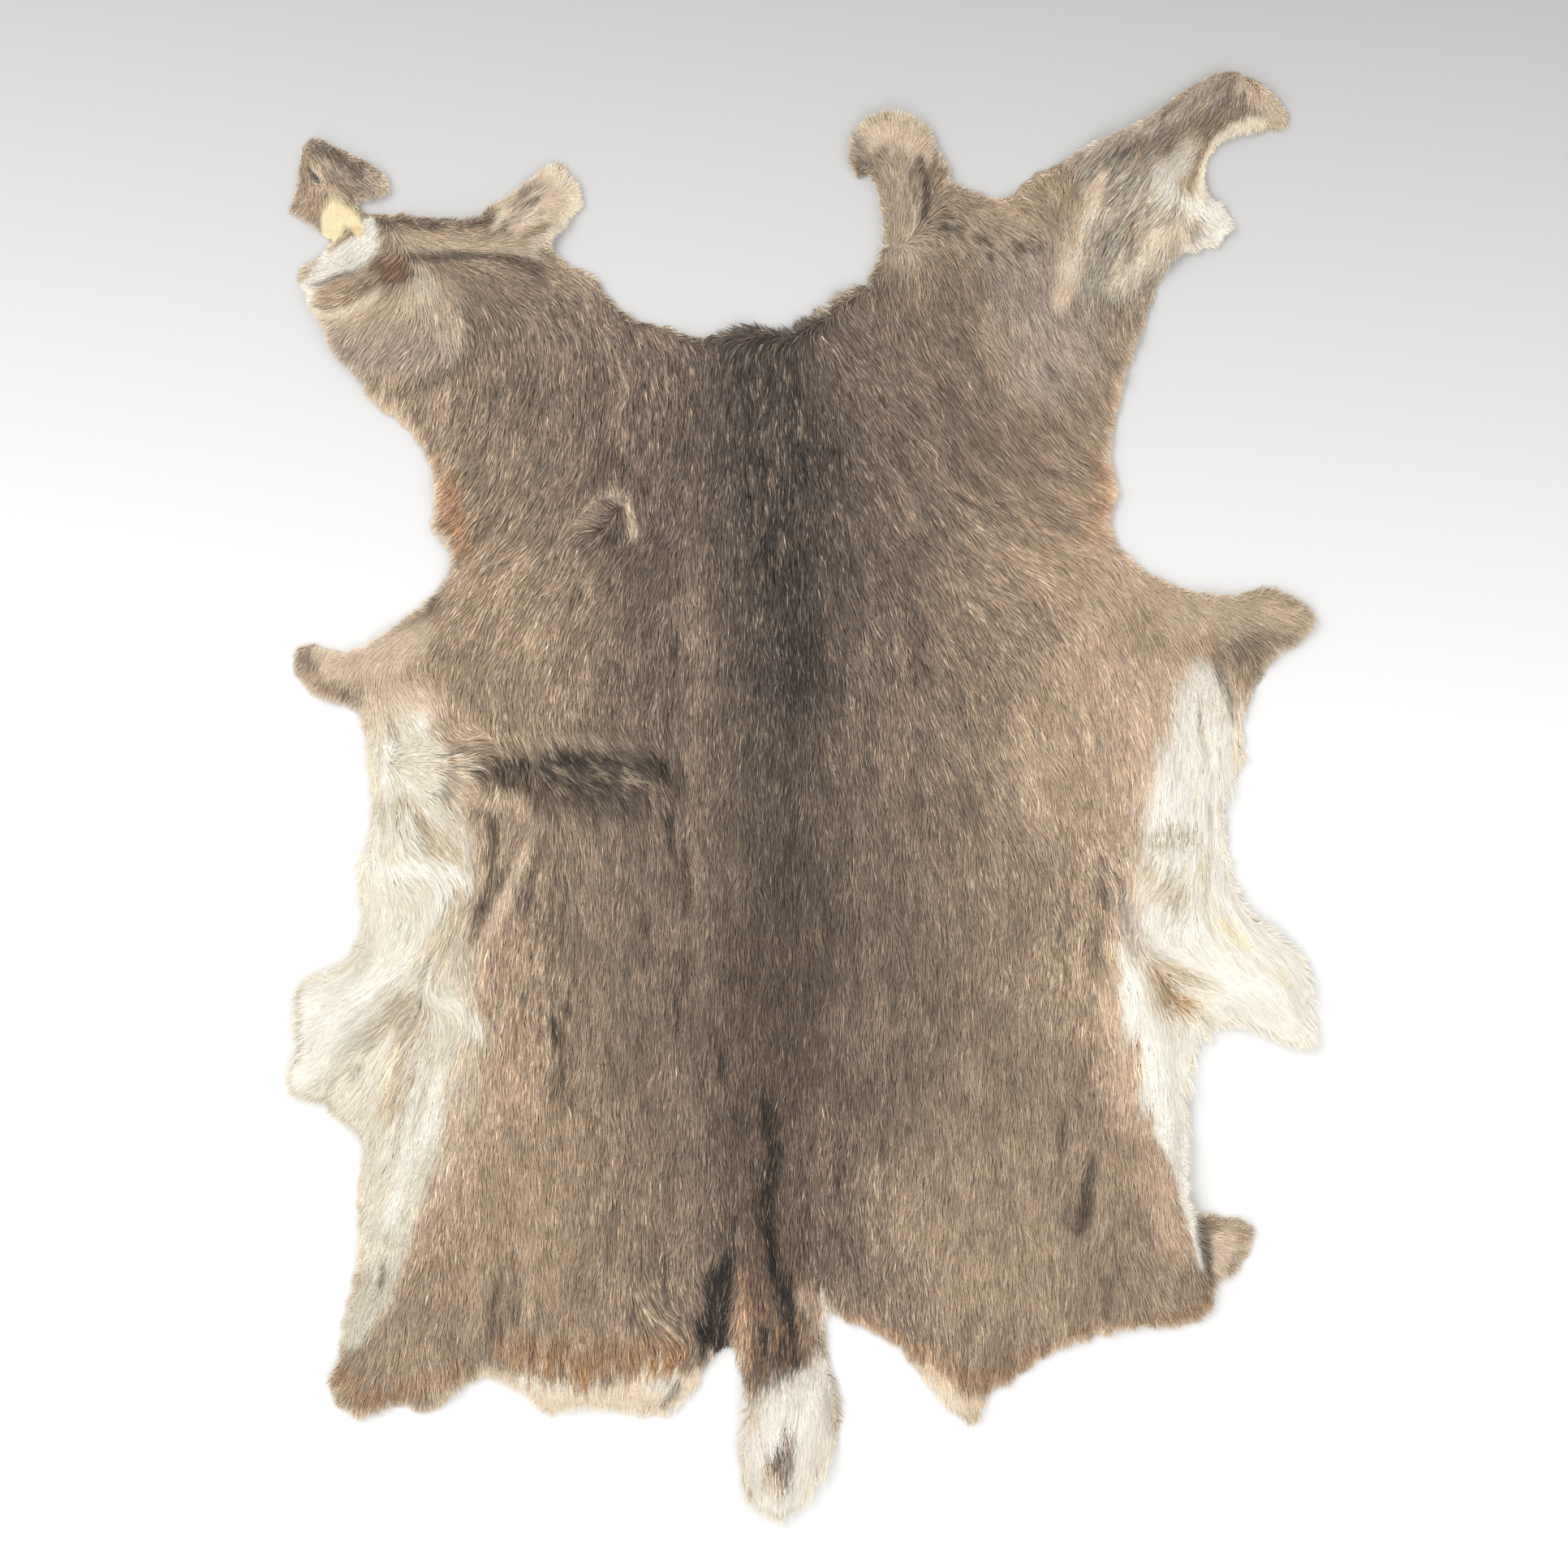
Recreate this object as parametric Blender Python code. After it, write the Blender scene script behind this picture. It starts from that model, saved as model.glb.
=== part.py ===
# Deer hide with its hair on, opened along the belly and laid flat, hair side up.
# Metres, +Z up. The head end points to +Y, the tail to -Y, the animal's right flank to +X.
# The origin is on the floor, under the middle of the hide's box.
# The tables are in millimetres, measured from a point on the spine at mid-back.

import math
from collections import namedtuple

import bmesh
import bpy
import numpy as np
from mathutils import Vector, noise

MM = 0.001

# The skin lies on the floor and the coat stands on it.
RIM_THICKNESS = 2.6  # skin and thin hair at the cut edge
SHOULDER = 24.0  # how far in from the edge the coat reaches its full depth
LEAST_COAT = 3.2  # of skin and hair at the bottom of a parting
SKIN_STAYS_DOWN = 2.5  # a buckle lower than this leaves the skin on the floor
MESH_PITCH = 16.0  # between the lines of the surface
SHORTEST_EDGE = 3.5  # a shorter edge of the panel becomes a point
UNEVEN = 0.6  # how far a point strays from its line
LUMP_HEIGHT = 1.3  # of the coat's tufts
LUMP_SIZE = 34.0
LOCK_PITCH = 21.0  # from one lock of hair at the edge to the next, on average
LOCK_SHIFT = 5.0  # how far a lock strays along the edge

# The cut edge, clockwise from the nape as seen from above. Each stretch has the depth of the
# notches between its locks, and the places that its edge runs through.
Stretch = namedtuple("Stretch", "part notch points")
EDGE = (
    Stretch("nape", 7, ((-87, 416), (-53, 419), (-28, 425), (-4, 419), (16, 427), (59, 458), (81, 473))),
    Stretch("right ear", 2.5, (
        (91, 500), (91, 525), (85, 552), (80, 564), (67, 562), (61, 581), (65, 603),
        (80, 618), (101, 623), (122, 617), (137, 602), (141, 586), (152, 573), (153, 561),
    )),
    Stretch("right brow", 2.5, ((174, 550), (204, 542), (228, 564), (258, 578), (292, 597))),
    Stretch("right muzzle", 3, (
        (329, 614), (363, 637), (393, 656), (415, 662), (440, 652), (460, 633), (468, 613),
        (446, 606), (418, 601), (400, 590), (391, 568), (391, 547),
    )),
    Stretch("right throat", 6, ((411, 531), (411, 511), (392, 498), (367, 493), (350, 476), (341, 451))),
    Stretch("right of neck", 4, ((330, 421), (317, 388), (308, 352), (301, 315), (301, 292), (308, 267), (299, 240))),
    Stretch("right foreleg", 3, (
        (318, 210), (348, 190), (384, 178), (418, 176), (448, 182), (476, 171), (491, 154),
        (479, 134), (456, 120), (440, 98), (425, 72),
    )),
    Stretch("right belly", 9, (
        (422, 46), (425, 20), (410, 0), (404, -28), (409, -58), (417, -90), (430, -119), (455, -139),
        (479, -162), (484, -190), (482, -214), (486, -238), (459, -233), (428, -216), (401, -222),
        (380, -245), (373, -280), (374, -325), (374, -362), (378, -392),
    )),
    Stretch("right shank", 3, ((402, -400), (431, -407), (431, -431), (417, -453), (399, -462))),
    Stretch("right haunch", 6, (
        (399, -478), (386, -495), (362, -503), (326, -503), (288, -512), (251, -524), (222, -543), (205, -556),
    )),
    Stretch("right rump tip", 3, ((188, -564), (183, -589), (171, -593), (146, -571), (127, -544))),
    Stretch("beside the tail", 6, ((106, -520), (77, -502), (52, -492), (41, -479))),
    Stretch("tail", 8, (
        (35, -500), (41, -531), (49, -563), (51, -596), (36, -623), (24, -650), (7, -671), (-12, -674),
        (-29, -657), (-38, -630), (-39, -602), (-34, -569), (-38, -543), (-43, -520),
    )),
    Stretch("left rump", 5, (
        (-56, -517), (-71, -532), (-81, -554), (-96, -573), (-115, -584), (-152, -581), (-192, -578),
        (-218, -584), (-241, -566), (-262, -553), (-279, -547),
    )),
    Stretch("left hind leg", 4, (
        (-300, -558), (-332, -582), (-350, -573), (-374, -579), (-393, -587), (-412, -575),
        (-421, -552), (-410, -530), (-411, -506),
    )),
    Stretch("left belly", 9, (
        (-403, -472), (-392, -430), (-389, -405), (-393, -378), (-386, -330), (-407, -308), (-431, -289),
        (-457, -279), (-446, -250), (-449, -218), (-443, -183), (-414, -174), (-395, -152), (-387, -119),
        (-395, -82), (-384, -50), (-381, -14), (-383, 23), (-388, 50),
    )),
    Stretch("left foreleg", 3, (
        (-393, 68), (-410, 76), (-431, 82), (-447, 96), (-454, 117), (-446, 131), (-428, 129),
        (-408, 123), (-383, 131), (-353, 152), (-323, 176), (-305, 200),
    )),
    Stretch("left of neck", 5, (
        (-311, 221), (-327, 240), (-321, 263), (-324, 292), (-336, 317), (-355, 338), (-379, 353),
        (-393, 376), (-414, 396), (-427, 425), (-441, 449), (-449, 477),
    )),
    Stretch("left muzzle", 2, (
        (-430, 485), (-418, 499), (-430, 510), (-444, 525), (-459, 529), (-451, 551), (-449, 582),
        (-438, 600), (-410, 589), (-382, 575), (-367, 558), (-373, 544), (-397, 541), (-389, 529),
    )),
    Stretch("left brow", 3, ((-357, 530), (-320, 525), (-287, 524), (-273, 537), (-259, 543))),
    Stretch("left ear", 2.5, ((-239, 558), (-214, 575), (-199, 565), (-188, 542), (-201, 521), (-220, 497))),
    Stretch("left of nape", 5, ((-200, 483), (-176, 468), (-157, 444), (-128, 428), (-104, 424))),
)

# How deep the coat and skin are together round each place, and how far that depth reaches.
Depth = namedtuple("Depth", "part x y reach coat")
COAT = (
    Depth("mane", -5, 370, 90, 15),
    Depth("shoulders", 0, 200, 170, 12),
    Depth("back", 0, -60, 220, 11),
    Depth("croup", 0, -340, 190, 12),
    Depth("haunch, right", 280, -420, 110, 12),
    Depth("haunch, left", -280, -440, 110, 12),
    Depth("belly, right", 420, -110, 75, 15),
    Depth("lower belly, right", 380, -270, 60, 14),
    Depth("belly, left", -380, -60, 80, 15),
    Depth("lower belly, left", -400, -250, 80, 16),
    Depth("neck, right", 250, 330, 100, 11),
    Depth("neck, left", -280, 330, 100, 11),
    Depth("foreleg, right", 440, 140, 45, 8),
    Depth("foreleg, left", -425, 105, 35, 8),
    Depth("throat, right", 370, 520, 45, 11),
    Depth("face, right", 400, 620, 60, 8),
    Depth("brow, right", 230, 530, 60, 8),
    Depth("ear, right", 100, 580, 40, 8),
    Depth("face, left", -410, 550, 45, 7),
    Depth("brow, left", -300, 515, 50, 8),
    Depth("ear, left", -215, 540, 35, 7),
    Depth("shank", 415, -430, 22, 7),
    Depth("tail", 0, -600, 60, 17),
)

# Buckles and partings. A buckle lifts the skin, and a parting has a rise under 0 and only
# thins the coat. Turn is in degrees from +X, and long and wide are half sizes.
Fold = namedtuple("Fold", "part x y turn long wide rise")
FOLDS = (
    Fold("pleat, upper lip", -200, 46, 0, 95, 17, 9),
    Fold("pleat, lower lip", -185, -28, -5, 80, 19, 8),
    Fold("pleat, parting", -186, 13, 0, 88, 14, -8),
    Fold("flank crest, left", -251, -100, 74, 70, 17, 9),
    Fold("flank groove, left", -278, -98, 84, 70, 12, -6),
    Fold("belly swell, upper left", -352, -24, 90, 42, 36, 7),
    Fold("belly swell, mid left", -352, -112, 90, 52, 40, 9),
    Fold("belly crest, left", -374, -190, 45, 72, 16, 8),
    Fold("belly pit, left", -340, -219, 45, 24, 18, -8),
    Fold("belly swell, lower left", -412, -232, 60, 44, 34, 7),
    Fold("belly run, left", -360, -330, 75, 80, 20, 5),
    Fold("elbow whorl, left", -364, 20, 90, 30, 11, 8),
    Fold("cheek, left", -367, 415, -20, 60, 40, 13),
    Fold("cheek roll, left", -308, 424, 105, 36, 14, 7),
    Fold("brow fold, left", -293, 507, -2, 88, 14, 12),
    Fold("brow groove, left", -297, 478, -3, 72, 12, -5),
    Fold("ear, left", -222, 535, 50, 34, 20, 9),
    Fold("muzzle, left", -410, 565, -26, 38, 18, 9),
    Fold("ear, right", 102, 596, 0, 30, 28, 12),
    Fold("ear root, right", 112, 522, 92, 50, 18, 8),
    Fold("ear groove, right", 136, 554, 100, 28, 10, -4),
    Fold("muzzle, right", 350, 612, 24, 110, 22, 9),
    Fold("cheek fold, right", 276, 507, 70, 55, 13, 8),
    Fold("throat, right", 358, 511, 60, 32, 22, 8),
    Fold("cheek hollow, right", 314, 520, 80, 34, 20, -4),
    Fold("foreleg, right", 420, 151, 0, 60, 24, 7),
    Fold("foreleg, left", -418, 106, -30, 38, 18, 8),
    Fold("flank dimple, right", 311, -101, -63, 36, 11, -7),
    Fold("flank pull, right", 285, -66, -8, 55, 14, 6),
    Fold("flank edge, right", 350, -305, -77, 190, 19, 12),
    Fold("haunch groove, right", 278, -393, 92, 50, 12, -5),
    Fold("haunch swell, right", 305, -378, 88, 80, 20, 6),
    Fold("belly swell, upper right", 370, -6, 92, 50, 26, 6),
    Fold("belly crease, right", 362, -58, 0, 34, 12, -6),
    Fold("belly swell, mid right", 366, -108, 90, 36, 30, 9),
    Fold("belly pit, right", 368, -198, 30, 24, 16, -7),
    Fold("belly flap, right", 444, -184, -54, 58, 18, 8),
    Fold("tail", -2, -575, 90, 88, 26, 9),
    Fold("croup crease", -9, -378, 94, 72, 11, -6),
    Fold("hollow by the tail", -60, -489, 78, 32, 14, -9),
    Fold("tail root, left", -105, -480, 60, 46, 24, 6),
    Fold("haunch pucker, left", -275, -460, 92, 48, 13, 6),
    Fold("haunch groove, left", -251, -455, 92, 44, 11, -4),
    Fold("hip puckers, left", -226, -213, 80, 24, 12, -4),
    Fold("side groove, left", -102, -190, 91, 190, 12, -3),
    Fold("side ridge, left", -80, -170, 91, 190, 15, 3),
    Fold("shoulder tuft, left", -162, 252, 60, 24, 14, 6),
    Fold("spine", -8, 40, 90, 320, 60, 2),
)

# The eye opening in the skin of the left side of the face.
EYE_X, EYE_Y = -433.0, 563.0
EYE_LENGTH, EYE_WIDTH, EYE_TURN = 13.0, 7.0, -48.0
EYE_SIDES = 16
EYE_CUTTER_HEIGHT = 120.0

COAT_COLOUR = (0.22, 0.165, 0.12, 1)
COAT_ROUGHNESS = 0.8


def clear_scene():
    for obj in list(bpy.data.objects):
        bpy.data.objects.remove(obj)


def new_collection(name):
    collection = bpy.data.collections.new(name)
    bpy.context.scene.collection.children.link(collection)
    return collection


def spline_point(before, start, end, after, share):
    # A Catmull-Rom curve from start to end, which passes through both.
    bend = 2 * before - 5 * start + 4 * end - after
    twist = -before + 3 * start - 3 * end + after
    return 0.5 * (2 * start + (end - before) * share + bend * share**2 + twist * share**3)


def smooth_edge(steps=12):
    # The edge as a fine closed curve: rows of x, y and notch depth.
    rows = np.array([(x, y, stretch.notch) for stretch in EDGE for x, y in stretch.points], float)
    curve = []
    for i in range(len(rows)):
        before, start, end, after = (rows[(i + k) % len(rows)] for k in (-1, 0, 1, 2))
        curve += [spline_point(before, start, end, after, step / steps) for step in range(steps)]
    return np.array(curve)


def lock_spots(curve):
    # Places along the edge, a little unevenly apart: a tip of hair and a notch by turns.
    closed = np.vstack([curve, curve[:1]])
    along = np.concatenate([[0], np.cumsum(np.linalg.norm(np.diff(closed[:, :2], axis=0), axis=1))])
    count = 2 * round(along[-1] / LOCK_PITCH)
    at = np.arange(count) / count * along[-1]
    at += LOCK_SHIFT * np.array([noise.noise(Vector((3.7 * k, 1.3, 0.4))) for k in range(count)])
    return np.stack([np.interp(at % along[-1], along, closed[:, k]) for k in range(3)], axis=1)


def edge_with_locks():
    # Tips of hair on the smooth edge, and notches between them.
    spots = lock_spots(smooth_edge())
    ahead = np.roll(spots[:, :2], -1, axis=0) - np.roll(spots[:, :2], 1, axis=0)
    ahead /= np.linalg.norm(ahead, axis=1)[:, None]
    outline = []
    for i, ((x, y, notch), (right, up)) in enumerate(zip(spots, ahead)):
        uneven = 0.65 + 0.7 * noise.noise(Vector((0.17 * x, 0.17 * y, 7.1)))
        depth = notch * max(uneven, 0.15) if i % 2 else 0.0
        outline.append((x + up * depth, y - right * depth))
    return np.array(outline)


def distance_to_edge(points, outline):
    start, end = outline, np.roll(outline, -1, axis=0)
    side = end - start
    length_squared = (side**2).sum(axis=1)
    nearest = np.full(len(points), np.inf)
    for origin, span, squared in zip(start, side, length_squared):
        share = np.clip(((points - origin) @ span) / squared, 0, 1)
        gap = points - origin - share[:, None] * span
        nearest = np.minimum(nearest, (gap**2).sum(axis=1))
    return np.sqrt(nearest)


def coat_depth(points):
    # A blend of the coat's depths by nearness.
    total, weights = np.zeros(len(points)), np.full(len(points), 1e-9)
    for place in COAT:
        away = np.hypot(points[:, 0] - place.x, points[:, 1] - place.y) / place.reach
        weight = np.exp(-(away**2))
        total += weight * place.coat
        weights += weight
    return total / weights


def fold_shape(fold, points):
    turn = math.radians(fold.turn)
    dx, dy = points[:, 0] - fold.x, points[:, 1] - fold.y
    along = (dx * math.cos(turn) + dy * math.sin(turn)) / fold.long
    across = (dy * math.cos(turn) - dx * math.sin(turn)) / fold.wide
    return fold.rise * np.exp(-(along**2) - across**2)


def skin_height(points):
    # The buckles lift the skin off the floor.
    lift = sum(fold_shape(fold, points) for fold in FOLDS if fold.rise > 0)
    return np.maximum(lift - SKIN_STAYS_DOWN, 0)


def tufts(points):
    return np.array([
        LUMP_HEIGHT * noise.noise(Vector((x / LUMP_SIZE, y / (1.6 * LUMP_SIZE), 2.3))) for x, y in points
    ])


def coat_top(points, outline):
    # The height of the hair's surface above the floor.
    inside = np.clip(distance_to_edge(points, outline) / SHOULDER, 0, 1)
    shoulder = np.sqrt(1 - (1 - inside) ** 2)
    parting = sum(fold_shape(fold, points) for fold in FOLDS if fold.rise < 0)
    coat = np.maximum(coat_depth(points) + parting + tufts(points), LEAST_COAT)
    skin = skin_height(points)
    low_lift = sum(fold_shape(fold, points) for fold in FOLDS if fold.rise > 0) - skin
    return skin + RIM_THICKNESS + shoulder * (coat - RIM_THICKNESS + np.maximum(low_lift, 0))


def cut_on_lines(panel, low, high):
    # Cuts the flat panel along evenly spaced lines, first across X and then across Y.
    for axis in range(2):
        count = math.ceil((high[axis] - low[axis]) / MESH_PITCH)
        normal = Vector((1, 0, 0)) if axis == 0 else Vector((0, 1, 0))
        for k in range(1, count):
            place = normal * (low[axis] + k * MESH_PITCH)
            everything = panel.verts[:] + panel.edges[:] + panel.faces[:]
            bmesh.ops.bisect_plane(panel, geom=everything, plane_co=place, plane_no=normal, dist=0.01)


def stray(point):
    shift = noise.noise_vector(Vector((0.31 * point.x, 0.31 * point.y, 0.7)))
    point.x += UNEVEN * shift.x
    point.y += UNEVEN * shift.y


def flat_panel(outline):
    # The hide's outline as one face on the floor, cut into a net of triangles.
    panel = bmesh.new()
    panel.faces.new([panel.verts.new((x, y, 0)) for x, y in outline])
    cut_on_lines(panel, outline.min(axis=0), outline.max(axis=0))
    bmesh.ops.dissolve_degenerate(panel, dist=SHORTEST_EDGE, edges=panel.edges[:])
    for vert in panel.verts:
        stray(vert.co)
    bmesh.ops.triangulate(panel, faces=panel.faces[:])
    return panel


def thicken(panel, outline):
    # Raises a copy of the panel to the coat's surface, and the panel itself to the skin's underside.
    below = panel.verts[:]
    made = bmesh.ops.extrude_face_region(panel, geom=panel.faces[:])["geom"]
    above = [item for item in made if isinstance(item, bmesh.types.BMVert)]
    for verts, height in ((below, skin_height), (above, lambda spots: coat_top(spots, outline))):
        heights = height(np.array([(vert.co.x, vert.co.y) for vert in verts]))
        for vert, z in zip(verts, heights):
            vert.co.z = z
    return below


def plain_underside(panel, below):
    # Joins the faces that lie flat on the floor.
    rested = [v for v in below if all(abs(e.other_vert(v).co.z) < 1e-9 for e in v.link_edges) and v.co.z == 0]
    edges = {e for v in rested for e in v.link_edges}
    bmesh.ops.dissolve_limit(
        panel, angle_limit=math.radians(0.05), verts=rested, edges=list(edges), use_dissolve_boundaries=False
    )
    bmesh.ops.triangulate(panel, faces=panel.faces[:])


def to_part_frame(panel):
    # Millimetres to metres, with the origin under the middle of the box.
    spots = np.array([(vert.co.x, vert.co.y) for vert in panel.verts])
    middle = (spots.min(axis=0) + spots.max(axis=0)) / 2
    print("middle of the box, from the point on the spine:", middle.round(2), "mm")
    bmesh.ops.translate(panel, verts=panel.verts[:], vec=(-middle[0], -middle[1], 0))
    bmesh.ops.scale(panel, verts=panel.verts[:], vec=(MM, MM, MM))
    return middle


def coat_material():
    material = bpy.data.materials.new("coat")
    material.use_nodes = True
    surface = material.node_tree.nodes["Principled BSDF"]
    surface.inputs["Base Color"].default_value = COAT_COLOUR
    surface.inputs["Roughness"].default_value = COAT_ROUGHNESS
    surface.inputs["Metallic"].default_value = 0
    return material


def eye_cutter(middle, collection):
    # A slim oval cylinder that opens the eye slit through the skin.
    bpy.ops.mesh.primitive_cylinder_add(
        vertices=EYE_SIDES,
        radius=1,
        depth=EYE_CUTTER_HEIGHT * MM,
        location=((EYE_X - middle[0]) * MM, (EYE_Y - middle[1]) * MM, 0),
        rotation=(0, 0, math.radians(EYE_TURN)),
    )
    cutter = bpy.context.active_object
    cutter.name = "eye_cutter"
    cutter.scale = (EYE_LENGTH / 2 * MM, EYE_WIDTH / 2 * MM, 1)
    bpy.ops.object.transform_apply(location=False, rotation=False, scale=True)
    for holder in list(cutter.users_collection):
        holder.objects.unlink(cutter)
    collection.objects.link(cutter)
    cutter.hide_render = True
    cutter.display_type = "WIRE"
    return cutter


def build_hide():
    outline = edge_with_locks()
    panel = flat_panel(outline)
    below = thicken(panel, outline)
    plain_underside(panel, below)
    middle = to_part_frame(panel)
    bmesh.ops.recalc_face_normals(panel, faces=panel.faces[:])
    mesh = bpy.data.meshes.new("hide")
    panel.to_mesh(mesh)
    panel.free()
    hide = bpy.data.objects.new("hide", mesh)
    new_collection("deer hide").objects.link(hide)
    mesh.materials.append(coat_material())
    mesh.shade_smooth()
    eye = hide.modifiers.new("eye opening", "BOOLEAN")
    eye.object = eye_cutter(middle, new_collection("cutters"))
    return hide


clear_scene()
build_hide()
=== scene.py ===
# Deer hide with its hair on, laid flat on a pale floor and seen from straight above.
# Metres, +Z up. The head end points to +Y, the animal's right side to +X.
import math
from collections import namedtuple

import bmesh
import bpy
import numpy as np
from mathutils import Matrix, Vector, kdtree
from mathutils.bvhtree import BVHTree


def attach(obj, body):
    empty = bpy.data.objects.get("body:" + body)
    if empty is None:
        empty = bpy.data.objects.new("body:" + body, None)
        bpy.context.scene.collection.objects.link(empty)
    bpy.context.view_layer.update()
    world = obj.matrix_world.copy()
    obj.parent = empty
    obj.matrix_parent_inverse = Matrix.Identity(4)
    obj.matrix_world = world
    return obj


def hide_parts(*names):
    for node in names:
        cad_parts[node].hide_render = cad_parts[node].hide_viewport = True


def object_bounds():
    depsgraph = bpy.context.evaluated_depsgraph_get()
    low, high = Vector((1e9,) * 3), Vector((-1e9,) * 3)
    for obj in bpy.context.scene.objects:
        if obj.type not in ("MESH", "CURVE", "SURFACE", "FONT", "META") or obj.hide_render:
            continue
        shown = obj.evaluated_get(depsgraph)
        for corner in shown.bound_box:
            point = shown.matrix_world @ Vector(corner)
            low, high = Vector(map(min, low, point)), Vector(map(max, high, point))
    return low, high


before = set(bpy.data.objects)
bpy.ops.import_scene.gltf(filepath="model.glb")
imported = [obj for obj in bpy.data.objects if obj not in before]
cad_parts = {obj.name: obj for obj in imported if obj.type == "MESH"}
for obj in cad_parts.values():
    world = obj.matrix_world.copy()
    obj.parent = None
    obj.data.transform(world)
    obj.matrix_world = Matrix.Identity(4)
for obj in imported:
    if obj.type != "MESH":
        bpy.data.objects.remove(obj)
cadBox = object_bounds()
mm = 0.001

# Places in the tables are pixels of the photograph, 1932 to a side, x to the right and y down.
photo = {
    "pixelOnHide": 0.75 * mm,  # what one pixel covers on the hide
    "originX": 986.6,  # the pixel that looks at the frame's origin
    "originY": 975.5,
    "middle": 966,  # of the photograph, both ways
}

view = {"lens": 85, "sensor": 36, "photoWidth": 1932}

palette = {
    "coat": "#B5A088",
    "paleBrown": "#B8A289",
    "warmBrown": "#B79E83",
    "tan": "#CDB69B",
    "mushroom": "#BFAD9D",
    "darkBrown": "#77655A",
    "charcoal": "#4D433D",
    "umber": "#584A3E",
    "blackBrown": "#2B2420",
    "sand": "#D6C2A8",
    "cream": "#F3E8D2",
    "white": "#EEEBE1",
    "tawny": "#B98F66",
    "greyBrown": "#9A8B7D",
    "taupe": "#9C8974",
    "oat": "#DCD0BA",
    "pebble": "#B9AF9F",
    "khaki": "#C3AE8C",
    "pearl": "#E2DCD0",
    "russet": "#C4A182",
    "rust": "#B07B50",
    "butter": "#E6D8AE",
    "apricot": "#DDBFA2",
    "skin": "#E6D6BE",
    "mauve": "#82644F",
    "rawhide": "#E3D3A8",
    "honey": "#C98A3C",
    "dusk": "#93806F",
    "biscuit": "#D8BFA3",
    "chestnut": "#7A6150",
    "ivory": "#DAD3C1",
    "wheat": "#E6D3BA",
    "ash": "#CDBDAA",
}

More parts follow.
